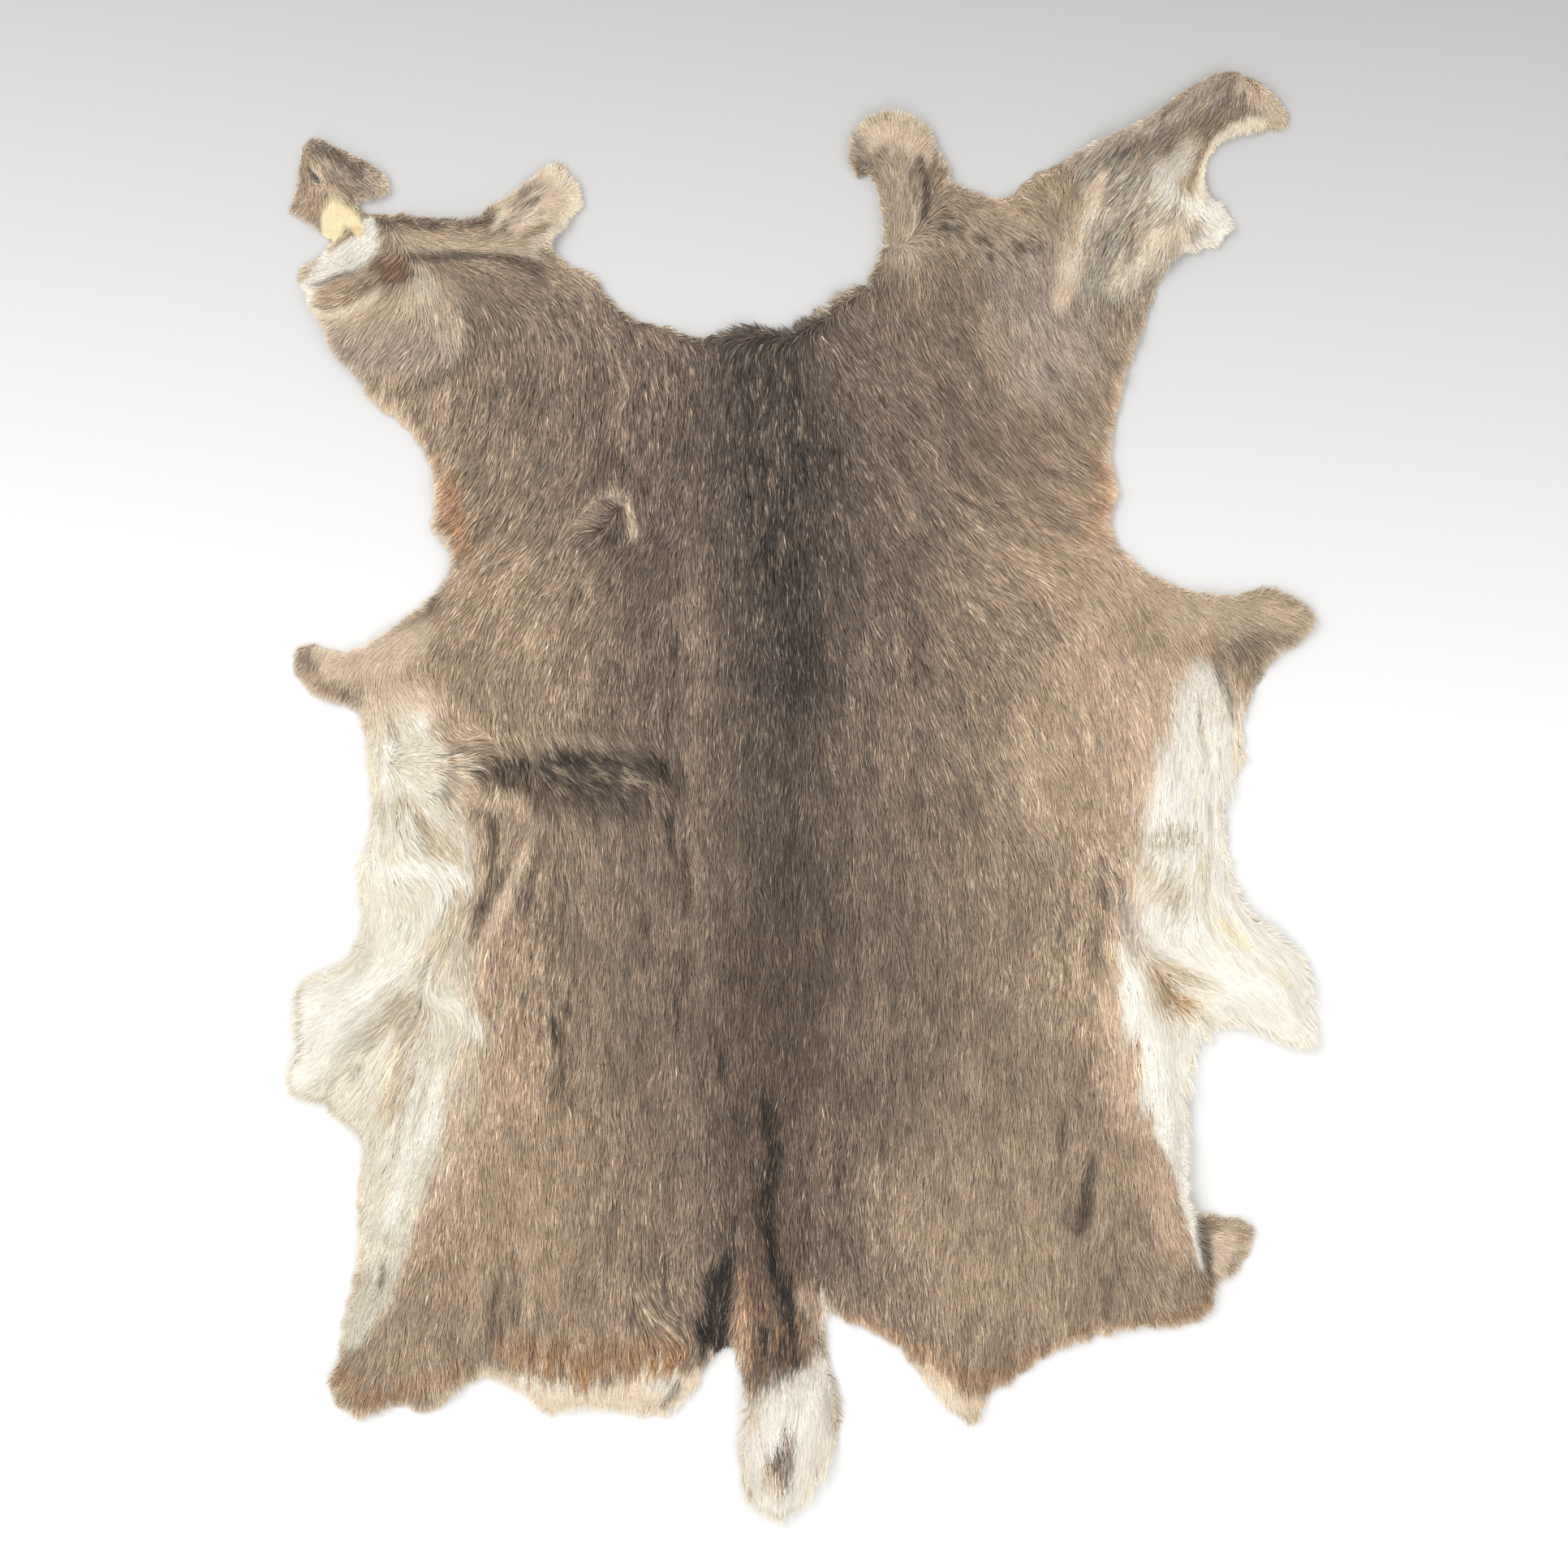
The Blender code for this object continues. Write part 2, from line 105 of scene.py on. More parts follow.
# Where the hair lies: places (x, y, way, reach). The way of the tips is in degrees, 0 to the
# photograph's right and 90 up, and the reach in pixels.
Lie = namedtuple("Lie", "part places")
lies = (
    Lie("left face", (
        (423, 200, -35, 30), (395, 185, -45, 25), (460, 225, -30, 25), (378, 225, -110, 25),
        (365, 250, -140, 18), (392, 250, -100, 18), (400, 215, -60, 15), (412, 270, -100, 20),
    )),
    Lie("left chin", (
        (462, 295, -165, 22), (440, 310, -135, 22), (400, 330, -170, 22), (385, 350, -160, 22),
    )),
    Lie("left jaw", ((500, 283, -20, 26), (545, 285, -15, 26), (590, 285, 5, 26), (625, 265, 40, 26))),
    Lie("left ear", (
        (650, 245, 50, 24), (676, 215, 68, 20), (703, 232, 10, 20), (700, 262, -25, 20),
        (672, 285, -40, 20), (630, 290, 0, 20),
    )),
    Lie("left cheek", (
        (480, 330, -150, 20), (455, 370, -140, 24), (400, 385, -165, 20), (395, 365, 175, 20),
        (506, 355, -85, 24), (545, 365, -55, 26), (572, 395, -75, 24), (580, 425, -100, 22),
        (552, 445, -125, 24), (500, 425, -125, 28), (455, 425, -120, 28), (415, 430, -125, 22),
        (440, 465, -115, 24), (490, 470, -105, 26), (540, 478, -100, 26),
    )),
    Lie("left neck", (
        (589, 355, -35, 26), (640, 365, -42, 30), (680, 340, -35, 24), (705, 370, -50, 26),
        (700, 405, -70, 30), (745, 395, -55, 28), (771, 422, -60, 28), (800, 405, -30, 18),
        (850, 425, -80, 26), (804, 472, -85, 40), (638, 450, -95, 40), (700, 470, -88, 40),
        (590, 430, -75, 28), (600, 500, -95, 40), (560, 520, -100, 35), (510, 515, -105, 26),
    )),
    Lie("nape", (
        (900, 408, 150, 16), (935, 402, 135, 16), (970, 402, 120, 16), (1010, 385, 140, 14),
        (1050, 358, 140, 14), (925, 440, -95, 30), (975, 450, -85, 30), (1029, 430, -50, 26),
        (1060, 400, -55, 26), (1085, 370, -70, 22),
    )),
    Lie("spine", (
        (963, 518, -90, 45), (894, 483, -92, 40), (929, 620, -90, 50), (960, 724, -88, 60),
        (960, 850, -90, 60), (960, 1000, -90, 60), (950, 1150, -90, 60), (945, 1300, -90, 60),
        (945, 1450, -90, 60), (1000, 560, -80, 40), (1010, 700, -78, 40),
    )),
    Lie("right ear", (
        (1095, 270, 95, 22), (1130, 265, 85, 22), (1100, 225, 95, 22), (1140, 215, 80, 20),
        (1125, 175, 60, 20), (1100, 160, 95, 18), (1075, 160, 120, 16), (1060, 185, 165, 16),
        (1080, 200, 150, 16), (1145, 185, 30, 16), (1160, 225, 60, 14), (1110, 350, -88, 24),
        (1090, 335, -110, 18), (1140, 350, -75, 24), (1112, 395, -80, 26), (1160, 320, -60, 24),
        (1150, 290, -40, 16),
    )),
    Lie("right brow", (
        (1186, 240, -30, 22), (1200, 275, -50, 18), (1228, 262, -22, 24), (1265, 240, -35, 22),
        (1262, 285, -20, 26), (1300, 270, -50, 26), (1291, 222, -65, 22), (1210, 315, -55, 24),
        (1250, 320, -65, 26),
    )),
    Lie("right face", (
        (1300, 320, -100, 24), (1322, 300, -115, 22), (1330, 250, -120, 22), (1345, 210, -125, 22),
        (1370, 185, -125, 22), (1410, 165, -122, 22), (1450, 140, -120, 22), (1490, 120, -125, 20),
        (1530, 110, -120, 18), (1545, 110, -80, 16), (1565, 135, -50, 18),
    )),
    Lie("right throat", (
        (1369, 233, -118, 24), (1400, 215, -125, 22), (1440, 190, -130, 20), (1484, 200, -110, 16),
        (1470, 235, -60, 18), (1495, 265, -20, 16), (1470, 285, -40, 16), (1440, 260, -140, 20),
        (1411, 285, -125, 22), (1385, 332, -120, 24), (1350, 290, -118, 22), (1350, 340, -112, 24),
        (1322, 340, -105, 24), (1420, 320, -110, 20), (1440, 300, -80, 16),
    )),
    Lie("right neck", (
        (1238, 330, -72, 26), (1212, 374, -70, 30), (1291, 374, -70, 30), (1343, 400, -62, 28),
        (1395, 384, -78, 20), (1160, 400, -68, 28), (1180, 450, -58, 34), (1260, 440, -60, 34),
        (1330, 450, -58, 30), (1375, 450, -62, 22), (1110, 450, -58, 30),
    )),
    Lie("right shoulder", (
        (1067, 518, -60, 40), (1170, 518, -54, 40), (1273, 500, -57, 40), (1342, 518, -52, 30),
        (1359, 569, -38, 26), (1067, 621, -62, 40), (1130, 640, -55, 40), (1204, 621, -45, 40),
        (1308, 610, -36, 36), (1359, 615, -26, 22), (1273, 673, -35, 34), (1325, 673, -25, 28),
        (1350, 660, -20, 20), (1345, 700, -45, 24), (1067, 724, -72, 40), (1130, 740, -65, 40),
        (1204, 724, -50, 40), (1308, 742, -58, 34), (1380, 720, -48, 26),
    )),
    Lie("right side", (
        (1067, 828, -76, 45), (1204, 828, -62, 45), (1308, 828, -70, 40), (1377, 793, -70, 34),
        (1130, 900, -75, 50), (1230, 920, -68, 50), (1330, 900, -72, 40), (1367, 953, -76, 30),
        (1389, 863, -74, 30), (1060, 950, -85, 50), (1080, 1050, -88, 55), (1200, 1030, -80, 50),
        (1300, 1020, -74, 45), (1370, 1030, -80, 26),
    )),
    Lie("right foreleg", (
        (1430, 740, -42, 28), (1479, 760, -35, 26), (1530, 745, -22, 24), (1580, 755, -15, 22),
        (1600, 765, -25, 18), (1501, 785, -55, 22), (1560, 790, -45, 20), (1479, 806, -72, 24),
        (1430, 800, -72, 28), (1537, 832, -85, 22), (1510, 850, -85, 20),
    )),
    Lie("right belly", (
        (1456, 890, -84, 28), (1490, 930, -88, 26), (1479, 980, -86, 26), (1430, 960, -92, 26),
        (1412, 1000, -100, 22), (1450, 1020, -80, 22), (1490, 1050, -80, 24), (1425, 1087, -125, 24),
        (1470, 1087, -115, 22), (1405, 1110, -110, 18), (1440, 1130, -110, 22), (1500, 1110, -70, 22),
        (1523, 1154, -55, 22), (1560, 1180, -50, 22), (1590, 1220, -45, 22), (1595, 1260, -55, 20),
        (1550, 1225, -42, 24), (1500, 1160, -75, 22), (1480, 1190, -30, 18), (1434, 1176, -20, 16),
        (1410, 1200, -60, 16), (1430, 1240, -60, 16), (1460, 1240, -15, 14), (1495, 1225, -20, 20),
        (1520, 1250, -55, 20), (1480, 1260, -60, 18), (1455, 1265, -95, 16),
    )),
    Lie("right flank", (
        (1376, 1078, -55, 16), (1390, 1120, -75, 16), (1370, 1140, -95, 18), (1340, 1100, -80, 26),
        (1350, 1180, -92, 24), (1385, 1190, -80, 18), (1410, 1240, -75, 20), (1430, 1310, -78, 22),
        (1440, 1380, -78, 22), (1455, 1450, -76, 22), (1405, 1300, -82, 22),
    )),
    Lie("right haunch", (
        (1340, 1250, -92, 35), (1370, 1330, -88, 30), (1330, 1350, -90, 35), (1390, 1420, -84, 30),
        (1360, 1460, -92, 26), (1330, 1500, -98, 22), (1404, 1516, -80, 28), (1440, 1520, -76, 22),
        (1463, 1575, -78, 20), (1433, 1604, -68, 22), (1370, 1600, -84, 26), (1320, 1600, -92, 28),
        (1290, 1640, -88, 24), (1250, 1500, -90, 50), (1250, 1350, -90, 60), (1230, 1200, -88, 60),
        (1100, 1200, -90, 60), (1100, 1350, -90, 60), (1100, 1500, -90, 60), (1180, 1600, -88, 40),
        (1230, 1660, -92, 24), (1190, 1680, -85, 22), (1120, 1630, -82, 26), (1060, 1600, -86, 26),
        (1480, 1600, -60, 16),
    )),
    Lie("shank", (
        (1500, 1530, -15, 14), (1525, 1530, -5, 14), (1515, 1560, -45, 14), (1490, 1510, 10, 12),
    )),
    Lie("left shoulder", (
        (533, 540, -100, 26), (545, 575, -115, 24), (545, 620, -140, 22), (560, 650, -138, 22),
        (600, 640, -128, 30), (600, 580, -112, 34), (665, 580, -110, 40), (740, 540, -100, 40),
        (798, 560, -95, 40), (850, 600, -92, 45), (640, 700, -125, 36), (720, 720, -116, 36),
        (800, 700, -102, 36), (850, 750, -94, 45), (580, 690, -135, 26), (570, 730, -128, 26),
    )),
    Lie("left foreleg", (
        (549, 755, -125, 24), (516, 778, -135, 22), (480, 795, -140, 20), (440, 815, -130, 20),
        (400, 815, -120, 20), (385, 830, -115, 18), (420, 845, -108, 18), (460, 850, -75, 16),
        (470, 830, -100, 16), (500, 840, -60, 18), (520, 860, -52, 18), (536, 900, -55, 18),
    )),
    Lie("left side", (
        (560, 820, -100, 26), (600, 790, -112, 34), (665, 795, -106, 36), (732, 800, -100, 36),
        (599, 861, -90, 30), (665, 878, -88, 34), (732, 860, -94, 34), (798, 830, -93, 36),
        (850, 880, -92, 45), (560, 880, -75, 18),
    )),
    Lie("shoulder whorl", (
        (735, 640, 140, 9), (745, 625, 115, 9), (765, 612, 80, 9), (775, 640, -70, 9),
        (722, 650, 170, 9), (730, 670, -150, 9),
    )),
    Lie("pleat", (
        (572, 915, 15, 14), (585, 920, 25, 14), (640, 912, -60, 16), (690, 915, -55, 16),
        (732, 915, -45, 16), (781, 911, -50, 16), (812, 925, -80, 14), (600, 945, -60, 12),
        (640, 950, -100, 12), (680, 945, -20, 14), (730, 945, -10, 14), (780, 945, -5, 14),
        (700, 965, -35, 14), (760, 970, -30, 14), (600, 985, -105, 14), (640, 985, -80, 16),
        (700, 990, -60, 16), (760, 990, -50, 16), (810, 985, -70, 14), (560, 960, -40, 12),
        (555, 935, 5, 12), (575, 950, 0, 10),
    )),
    Lie("left belly whorl", (
        (500, 925, 35, 12), (510, 943, 0, 12), (505, 962, -38, 12), (490, 975, -65, 12),
        (530, 935, 12, 12), (530, 965, -25, 12), (478, 975, -90, 10), (462, 930, -100, 10),
        (460, 970, -95, 10), (483, 895, -70, 12), (500, 880, -50, 14), (455, 900, -95, 12),
    )),
    Lie("left belly", (
        (483, 1001, -90, 18), (519, 1012, -62, 18), (545, 1030, -60, 18), (462, 1030, -100, 16),
        (480, 1050, -70, 16), (510, 1062, -35, 16), (545, 1070, -40, 16), (565, 1085, -70, 14),
        (470, 1095, -80, 18), (505, 1101, -55, 18), (530, 1110, -75, 16), (550, 1130, -98, 16),
        (536, 1173, -118, 18), (500, 1150, -105, 18), (465, 1140, -100, 18), (455, 1180, -125, 18),
        (500, 1190, -130, 18), (465, 1220, -140, 18), (420, 1220, -150, 18), (400, 1250, -150, 18),
        (440, 1260, -145, 18), (386, 1290, -140, 18), (420, 1310, -135, 18), (375, 1325, -150, 14),
        (440, 1340, -125, 18), (400, 1350, -130, 14), (590, 1050, -95, 16), (585, 1110, -108, 16),
        (610, 1080, -106, 16), (640, 1040, -112, 18), (660, 1000, -95, 18), (575, 1150, -105, 14),
    )),
    Lie("left belly hollow", (
        (512, 1250, -122, 12), (500, 1265, -126, 14), (525, 1268, -104, 12), (545, 1262, -78, 10),
        (530, 1232, -40, 8), (552, 1236, -35, 10), (572, 1248, -62, 10), (582, 1268, -84, 12),
        (500, 1238, -140, 12),
    )),
    Lie("left flank", (
        (554, 1310, -102, 22), (510, 1320, -112, 22), (480, 1330, -115, 20), (531, 1370, -103, 24),
        (501, 1410, -110, 22), (474, 1448, -110, 20), (466, 1390, -112, 20), (500, 1480, -108, 22),
        (470, 1520, -110, 18), (455, 1580, -108, 16), (436, 1600, -105, 16), (462, 1620, -112, 16),
        (432, 1640, -110, 14),
    )),
    Lie("left haunch", (
        (600, 1350, -93, 34), (640, 1200, -90, 40), (700, 1100, -90, 40), (760, 1050, -90, 40),
        (780, 1200, -90, 50), (700, 1350, -90, 50), (850, 1100, -90, 50), (850, 1300, -90, 50),
        (780, 1450, -90, 50), (600, 1480, -92, 40), (530, 1560, -100, 30), (512, 1600, -102, 26),
        (570, 1600, -94, 26), (615, 1600, -90, 22), (680, 1600, -90, 34), (760, 1560, -90, 34),
        (480, 1660, -102, 22), (436, 1696, -115, 18), (412, 1700, -135, 14), (455, 1730, -100, 14),
        (493, 1700, -98, 18), (539, 1700, -80, 16), (560, 1670, -85, 18), (640, 1660, -90, 24),
        (720, 1670, -88, 24), (800, 1600, -55, 14), (815, 1625, -50, 14), (835, 1640, -60, 14),
        (852, 1600, -70, 14), (780, 1660, -85, 18), (850, 1670, -95, 14), (840, 1700, -110, 14),
    )),
    Lie("tail", (
        (937, 1600, -92, 18), (960, 1640, -90, 18), (915, 1640, -102, 12), (1000, 1620, -82, 12),
        (960, 1700, -90, 18), (930, 1720, -98, 12), (1000, 1700, -82, 12), (960, 1770, -90, 18),
        (1010, 1760, -82, 12), (930, 1780, -92, 12), (962, 1810, -92, 14), (940, 1840, -85, 12),
        (985, 1830, -100, 12), (960, 1850, -90, 12), (900, 1600, -110, 12),
    )),
)

# Colour of the coat, with painted shade in its folds, hollows and partings and painted light on
# its ridges: each mark is a brush stroke through places (x, y, half width). Soft is the width of
# its border, as a share of the half width.
Mark = namedtuple("Mark", "part colour strength soft places")
marks = (
    Mark("left neck", "dusk", 0.85, 1, ((760, 470, 90), (660, 430, 90), (640, 370, 50))),
    Mark("left neck, rear", "dusk", 0.5, 1.2, ((585, 430, 40), (590, 480, 40))),
    Mark("left shoulder, dark", "dusk", 0.6, 1.2, ((640, 560, 90), (700, 640, 60))),
    Mark("right shoulder, dark", "dusk", 0.7, 1.2, ((1220, 540, 80), (1290, 530, 60), (1310, 470, 30))),
    Mark("left shoulder", "paleBrown", 0.6, 1, ((620, 760, 80), (640, 860, 90))),
    Mark("left flank", "warmBrown", 0.6, 1, ((640, 1200, 70), (620, 1400, 80), (600, 1560, 70))),
    Mark("left rump", "warmBrown", 0.45, 1, ((720, 1400, 120), (720, 1560, 110))),
    Mark("left haunch, pale", "tan", 0.45, 1.4, ((610, 1380, 60), (640, 1480, 80), (650, 1580, 80))),
    Mark("right shoulder", "warmBrown", 0.3, 1, ((1290, 560, 80), (1290, 680, 80), (1200, 760, 80))),
    Mark("saddle, outer", "darkBrown", 0.7, 1.3, (
        (950, 440, 200), (950, 600, 230), (960, 800, 235), (960, 1000, 225), (960, 1260, 215),
        (955, 1420, 190), (955, 1560, 170),
    )),
    Mark("saddle, upper", "darkBrown", 0.6, 1.5, ((960, 440, 150), (970, 600, 180), (975, 760, 150))),
    Mark("right side", "tan", 0.85, 1, ((1400, 760, 60), (1360, 860, 80), (1320, 960, 80))),
    Mark("right shoulder, pale", "tan", 0.6, 1.3, ((1360, 640, 40), (1370, 700, 60), (1400, 760, 60))),
    Mark("right lower flank", "paleBrown", 0.6, 1, (
        (1340, 1300, 50), (1380, 1420, 60), (1400, 1540, 60), (1300, 1580, 60),
    )),
    Mark("right rump", "tan", 0.4, 1.2, ((1150, 1500, 90), (1260, 1520, 90))),
    Mark("right neck", "mushroom", 0.85, 1.1, ((1270, 350, 60), (1300, 410, 66), (1290, 450, 50))),
    Mark("left throat", "paleBrown", 0.6, 1, ((500, 430, 60), (460, 450, 40))),
    Mark("withers", "darkBrown", 0.7, 1.4, ((880, 470, 60), (835, 550, 80), (840, 650, 64))),
    Mark("left side, dark", "darkBrown", 0.45, 1.4, (
        (790, 560, 50), (800, 700, 50), (785, 840, 60), (800, 900, 50), (850, 960, 40),
    )),
    Mark("left flank, shade", "dusk", 0.4, 1.4, ((625, 1120, 36), (630, 1260, 40))),
    Mark("left of the spine", "taupe", 0.35, 1.2, (
        (856, 600, 16), (858, 850, 18), (856, 1100, 20), (858, 1400, 18),
    )),
    Mark("spine, upper", "charcoal", 0.95, 1.6, (
        (935, 430, 80), (945, 520, 88), (958, 620, 86), (968, 720, 72), (970, 810, 54),
    )),
    Mark("spine, dark line", "blackBrown", 0.3, 1.6, (
        (950, 450, 40), (958, 560, 44), (965, 680, 40), (970, 780, 30),
    )),
    Mark("spine", "charcoal", 0.68, 1.7, (
        (968, 800, 56), (968, 920, 58), (968, 1020, 56), (965, 1120, 56), (962, 1220, 56), (955, 1320, 56),
        (950, 1420, 54), (950, 1540, 50),
    )),
    Mark("spine, low", "chestnut", 0.35, 1.4, ((955, 1180, 60), (950, 1350, 70), (950, 1560, 60))),
    Mark("nape", "charcoal", 0.6, 0.8, ((930, 412, 26), (960, 410, 30), (1000, 405, 24))),
    # Painted shade in the pleat's hollow, deepest in its middle and at its end, and under it.
    Mark("pleat hollow", "umber", 0.8, 1.2, (
        (585, 948, 12), (620, 952, 17), (660, 952, 24), (730, 958, 34), (800, 952, 26),
    )),
    Mark("pleat hollow, deep", "blackBrown", 0.6, 1, (
        (630, 940, 5), (690, 938, 9), (750, 942, 10), (808, 944, 8),
    )),
    Mark("pleat, end spot", "blackBrown", 0.95, 0.8, ((812, 938, 6), (817, 945, 8))),
    Mark("pleat, end curve", "umber", 0.7, 0.9, (
        (822, 900, 3), (834, 930, 5), (836, 965, 5), (826, 995, 4),
    )),
    Mark("under the pleat hollow", "umber", 0.5, 1.2, ((660, 985, 14), (720, 995, 20), (790, 992, 18))),
    Mark("under the pleat, dimple", "umber", 0.8, 0.9, ((818, 1002, 6), (822, 1014, 6))),
    Mark("pleat, lower lip", "tan", 0.45, 1.2, ((580, 990, 8), (610, 985, 10), (640, 985, 8))),
    Mark("under the pleat", "tan", 0.5, 0.8, ((640, 990, 8), (655, 1020, 7), (650, 1060, 7))),
    Mark("shoulder whorl, tuft", "sand", 0.8, 0.5, (
        (752, 605, 7), (765, 610, 8), (775, 622, 7), (778, 645, 6), (782, 660, 4),
    )),
    Mark("shoulder whorl, ring", "sand", 0.6, 0.6, ((715, 645, 4), (722, 628, 4), (740, 608, 4))),
    # Painted shade in the whorl's hollow.
    Mark("shoulder whorl, hollow", "umber", 0.8, 0.6, ((738, 650, 8), (748, 658, 9), (756, 664, 6))),
    # The partings: darker roots show in them, with painted shade.
    Mark("parting, shoulder", "blackBrown", 0.7, 0.7, ((833, 786, 4), (828, 806, 5))),
    Mark("parting, side", "blackBrown", 0.6, 0.7, ((830, 1000, 5), (828, 1050, 4))),
    Mark("parting, flank", "blackBrown", 0.7, 0.7, ((660, 1248, 4), (662, 1275, 4))),
    Mark("parting, flank", "blackBrown", 0.7, 0.7, ((680, 1252, 4), (684, 1282, 4))),
    Mark("parting, flank", "blackBrown", 0.6, 0.7, ((700, 1218, 4), (702, 1246, 4))),
    Mark("parting, loin", "blackBrown", 0.6, 0.7, ((833, 1228, 5), (836, 1262, 4))),
    Mark("parting, loin, long", "umber", 0.65, 0.9, ((842, 1045, 4), (846, 1090, 6), (842, 1132, 4))),
    Mark("parting, croup, long", "umber", 0.45, 0.9, ((906, 1190, 3), (901, 1250, 5), (894, 1330, 4))),
    Mark("parting, croup", "blackBrown", 0.6, 0.7, ((890, 1295, 4), (888, 1326, 4))),
    Mark("parting, croup", "blackBrown", 0.6, 0.7, ((905, 1492, 4), (902, 1524, 4))),
    Mark("parting, rump", "umber", 0.55, 0.7, ((820, 1550, 4), (818, 1612, 5))),
    Mark("parting, haunch", "umber", 0.35, 1.2, ((632, 1545, 6), (634, 1625, 7))),
    Mark("parting, haunch", "umber", 0.55, 0.7, ((606, 1600, 5), (604, 1660, 4))),
    Mark("parting, rump", "umber", 0.5, 0.7, ((780, 1600, 4), (778, 1642, 4))),
    # Painted shade in the folds and hollows of the haunch and flanks, and on the far side of the left
    # flank's ridge; painted light along the ridges.
    Mark("haunch fold", "umber", 0.7, 1.3, (
        (1348, 1425, 5), (1342, 1460, 8), (1336, 1495, 10), (1326, 1522, 7),
    )),
    Mark("haunch fold, outer", "umber", 0.5, 0.8, ((1312, 1370, 5), (1308, 1420, 5))),
    Mark("haunch fold, lower", "umber", 0.6, 0.7, ((1360, 1598, 6), (1363, 1626, 5))),
    Mark("haunch ridge", "tan", 0.6, 0.8, ((1362, 1420, 9), (1360, 1480, 10), (1352, 1520, 9))),
    Mark("right flank fold", "umber", 0.75, 0.7, (
        (1350, 1052, 5), (1375, 1072, 6), (1388, 1100, 9), (1392, 1130, 8), (1394, 1150, 5),
    )),
    Mark("left flank fold", "umber", 0.85, 0.8, (
        (604, 1008, 8), (612, 1050, 11), (604, 1090, 10), (592, 1120, 7), (583, 1152, 4),
    )),
    Mark("left flank hollow", "umber", 0.7, 0.7, ((583, 995, 7), (600, 1000, 6))),
    Mark("left flank ridge", "wheat", 0.5, 0.9, (
        (652, 1040, 6), (632, 1088, 8), (612, 1128, 7), (590, 1168, 6),
    )),
    Mark("left flank ridge, right", "darkBrown", 0.5, 0.9, (
        (664, 1060, 5), (650, 1095, 6), (632, 1130, 5),
    )),
    # The croup parting: its darker roots show, with painted shade in the crease and beside it.
    Mark("croup parting", "blackBrown", 1, 0.9, (
        (938, 1352, 4), (950, 1380, 10), (953, 1420, 9), (951, 1470, 10), (946, 1520, 11), (952, 1570, 9),
        (962, 1612, 6),
    )),
    Mark("croup parting, side", "umber", 0.5, 1.6, ((950, 1380, 14), (952, 1470, 16), (950, 1560, 18))),
    Mark("left belly, border", "biscuit", 0.55, 1.1, (
        (490, 870, 52), (505, 920, 54), (512, 990, 62), (520, 1050, 68), (515, 1120, 68), (495, 1190, 88),
        (475, 1260, 112), (475, 1340, 106), (496, 1420, 62), (478, 1520, 44), (455, 1620, 32),
    )),
    Mark("left belly", "ivory", 1, 0.6, (
        (495, 890, 30), (492, 915, 42), (495, 945, 50), (495, 1000, 64), (498, 1050, 80), (492, 1100, 80),
        (488, 1150, 80), (462, 1190, 108), (446, 1230, 132), (448, 1300, 130), (440, 1345, 108),
        (488, 1390, 70), (494, 1420, 54), (480, 1480, 42), (470, 1540, 34), (455, 1590, 30),
        (432, 1640, 22),
    )),
    Mark("left belly, light", "white", 0.8, 1, ((520, 880, 9), (512, 896, 8))),
    Mark("left belly, light", "white", 0.8, 1, ((478, 915, 6), (475, 945, 6), (476, 980, 7))),
    Mark("left belly, light", "white", 0.4, 1.4, (
        (470, 1030, 16), (490, 1055, 16), (480, 1110, 20), (470, 1160, 18),
    )),
    Mark("left belly, light", "white", 0.8, 1.2, (
        (556, 1050, 8), (530, 1110, 12), (500, 1180, 16), (450, 1230, 18), (420, 1255, 16),
    )),
    Mark("left flap, light", "white", 0.7, 1.2, ((400, 1225, 20), (395, 1270, 26), (380, 1320, 20))),
    Mark("left flank, light", "white", 0.7, 1.2, (
        (540, 1320, 12), (520, 1380, 16), (500, 1440, 12), (480, 1500, 9),
    )),
    Mark("left belly, cream rim", "cream", 0.5, 0.8, ((458, 880, 8), (456, 930, 7), (455, 970, 6))),
    Mark("left belly whorl", "tan", 0.9, 1, ((480, 940, 7), (488, 946, 6))),
    Mark("left belly, shadow band tuft", "greyBrown", 0.6, 0.8, ((483, 888, 6), (486, 902, 6))),
    # Painted shade in the left belly's folds, hollows and seam, and painted highlights on its ridge and on
    # the hollow's lip.
    Mark("beside the belly whorl", "dusk", 0.6, 1.2, (
        (546, 900, 8), (554, 925, 10), (554, 955, 11), (546, 985, 9),
    )),
    Mark("under the belly whorl", "khaki", 0.5, 1.3, (
        (500, 985, 10), (515, 1005, 13), (540, 1025, 14), (556, 1050, 9),
    )),
    Mark("left belly fold", "khaki", 0.5, 1.2, ((470, 1040, 7), (510, 1048, 8), (560, 1050, 8))),
    Mark("left belly ridge", "white", 0.9, 1, (
        (450, 1064, 7), (500, 1068, 9), (550, 1070, 9), (574, 1080, 7),
    )),
    Mark("left belly, shadow band", "khaki", 0.35, 1.3, (
        (562, 1100, 10), (554, 1140, 15), (542, 1180, 14), (530, 1208, 10),
    )),
    Mark("left belly, seam", "oat", 0.5, 0.9, ((500, 1105, 8), (525, 1120, 8), (530, 1150, 8))),
    Mark("left belly hollow, rim", "oat", 0.8, 0.9, ((505, 1225, 18), (500, 1255, 22), (490, 1285, 18))),
    Mark("left belly hollow", "khaki", 0.65, 1.4, ((500, 1232, 11), (510, 1250, 15), (500, 1276, 13))),
    Mark("left belly hollow, heart", "dusk", 0.4, 1.6, ((514, 1238, 7), (520, 1252, 9), (510, 1268, 8))),
    Mark("left belly hollow, lip", "white", 0.7, 1, (
        (528, 1226, 4), (552, 1228, 6), (576, 1240, 6), (586, 1262, 5),
    )),
    Mark("under the belly hollow", "khaki", 0.6, 1.2, ((500, 1300, 12), (490, 1330, 15), (480, 1368, 11))),
    Mark("left flap", "white", 0.6, 1, ((425, 1215, 22), (400, 1245, 28), (392, 1292, 32))),
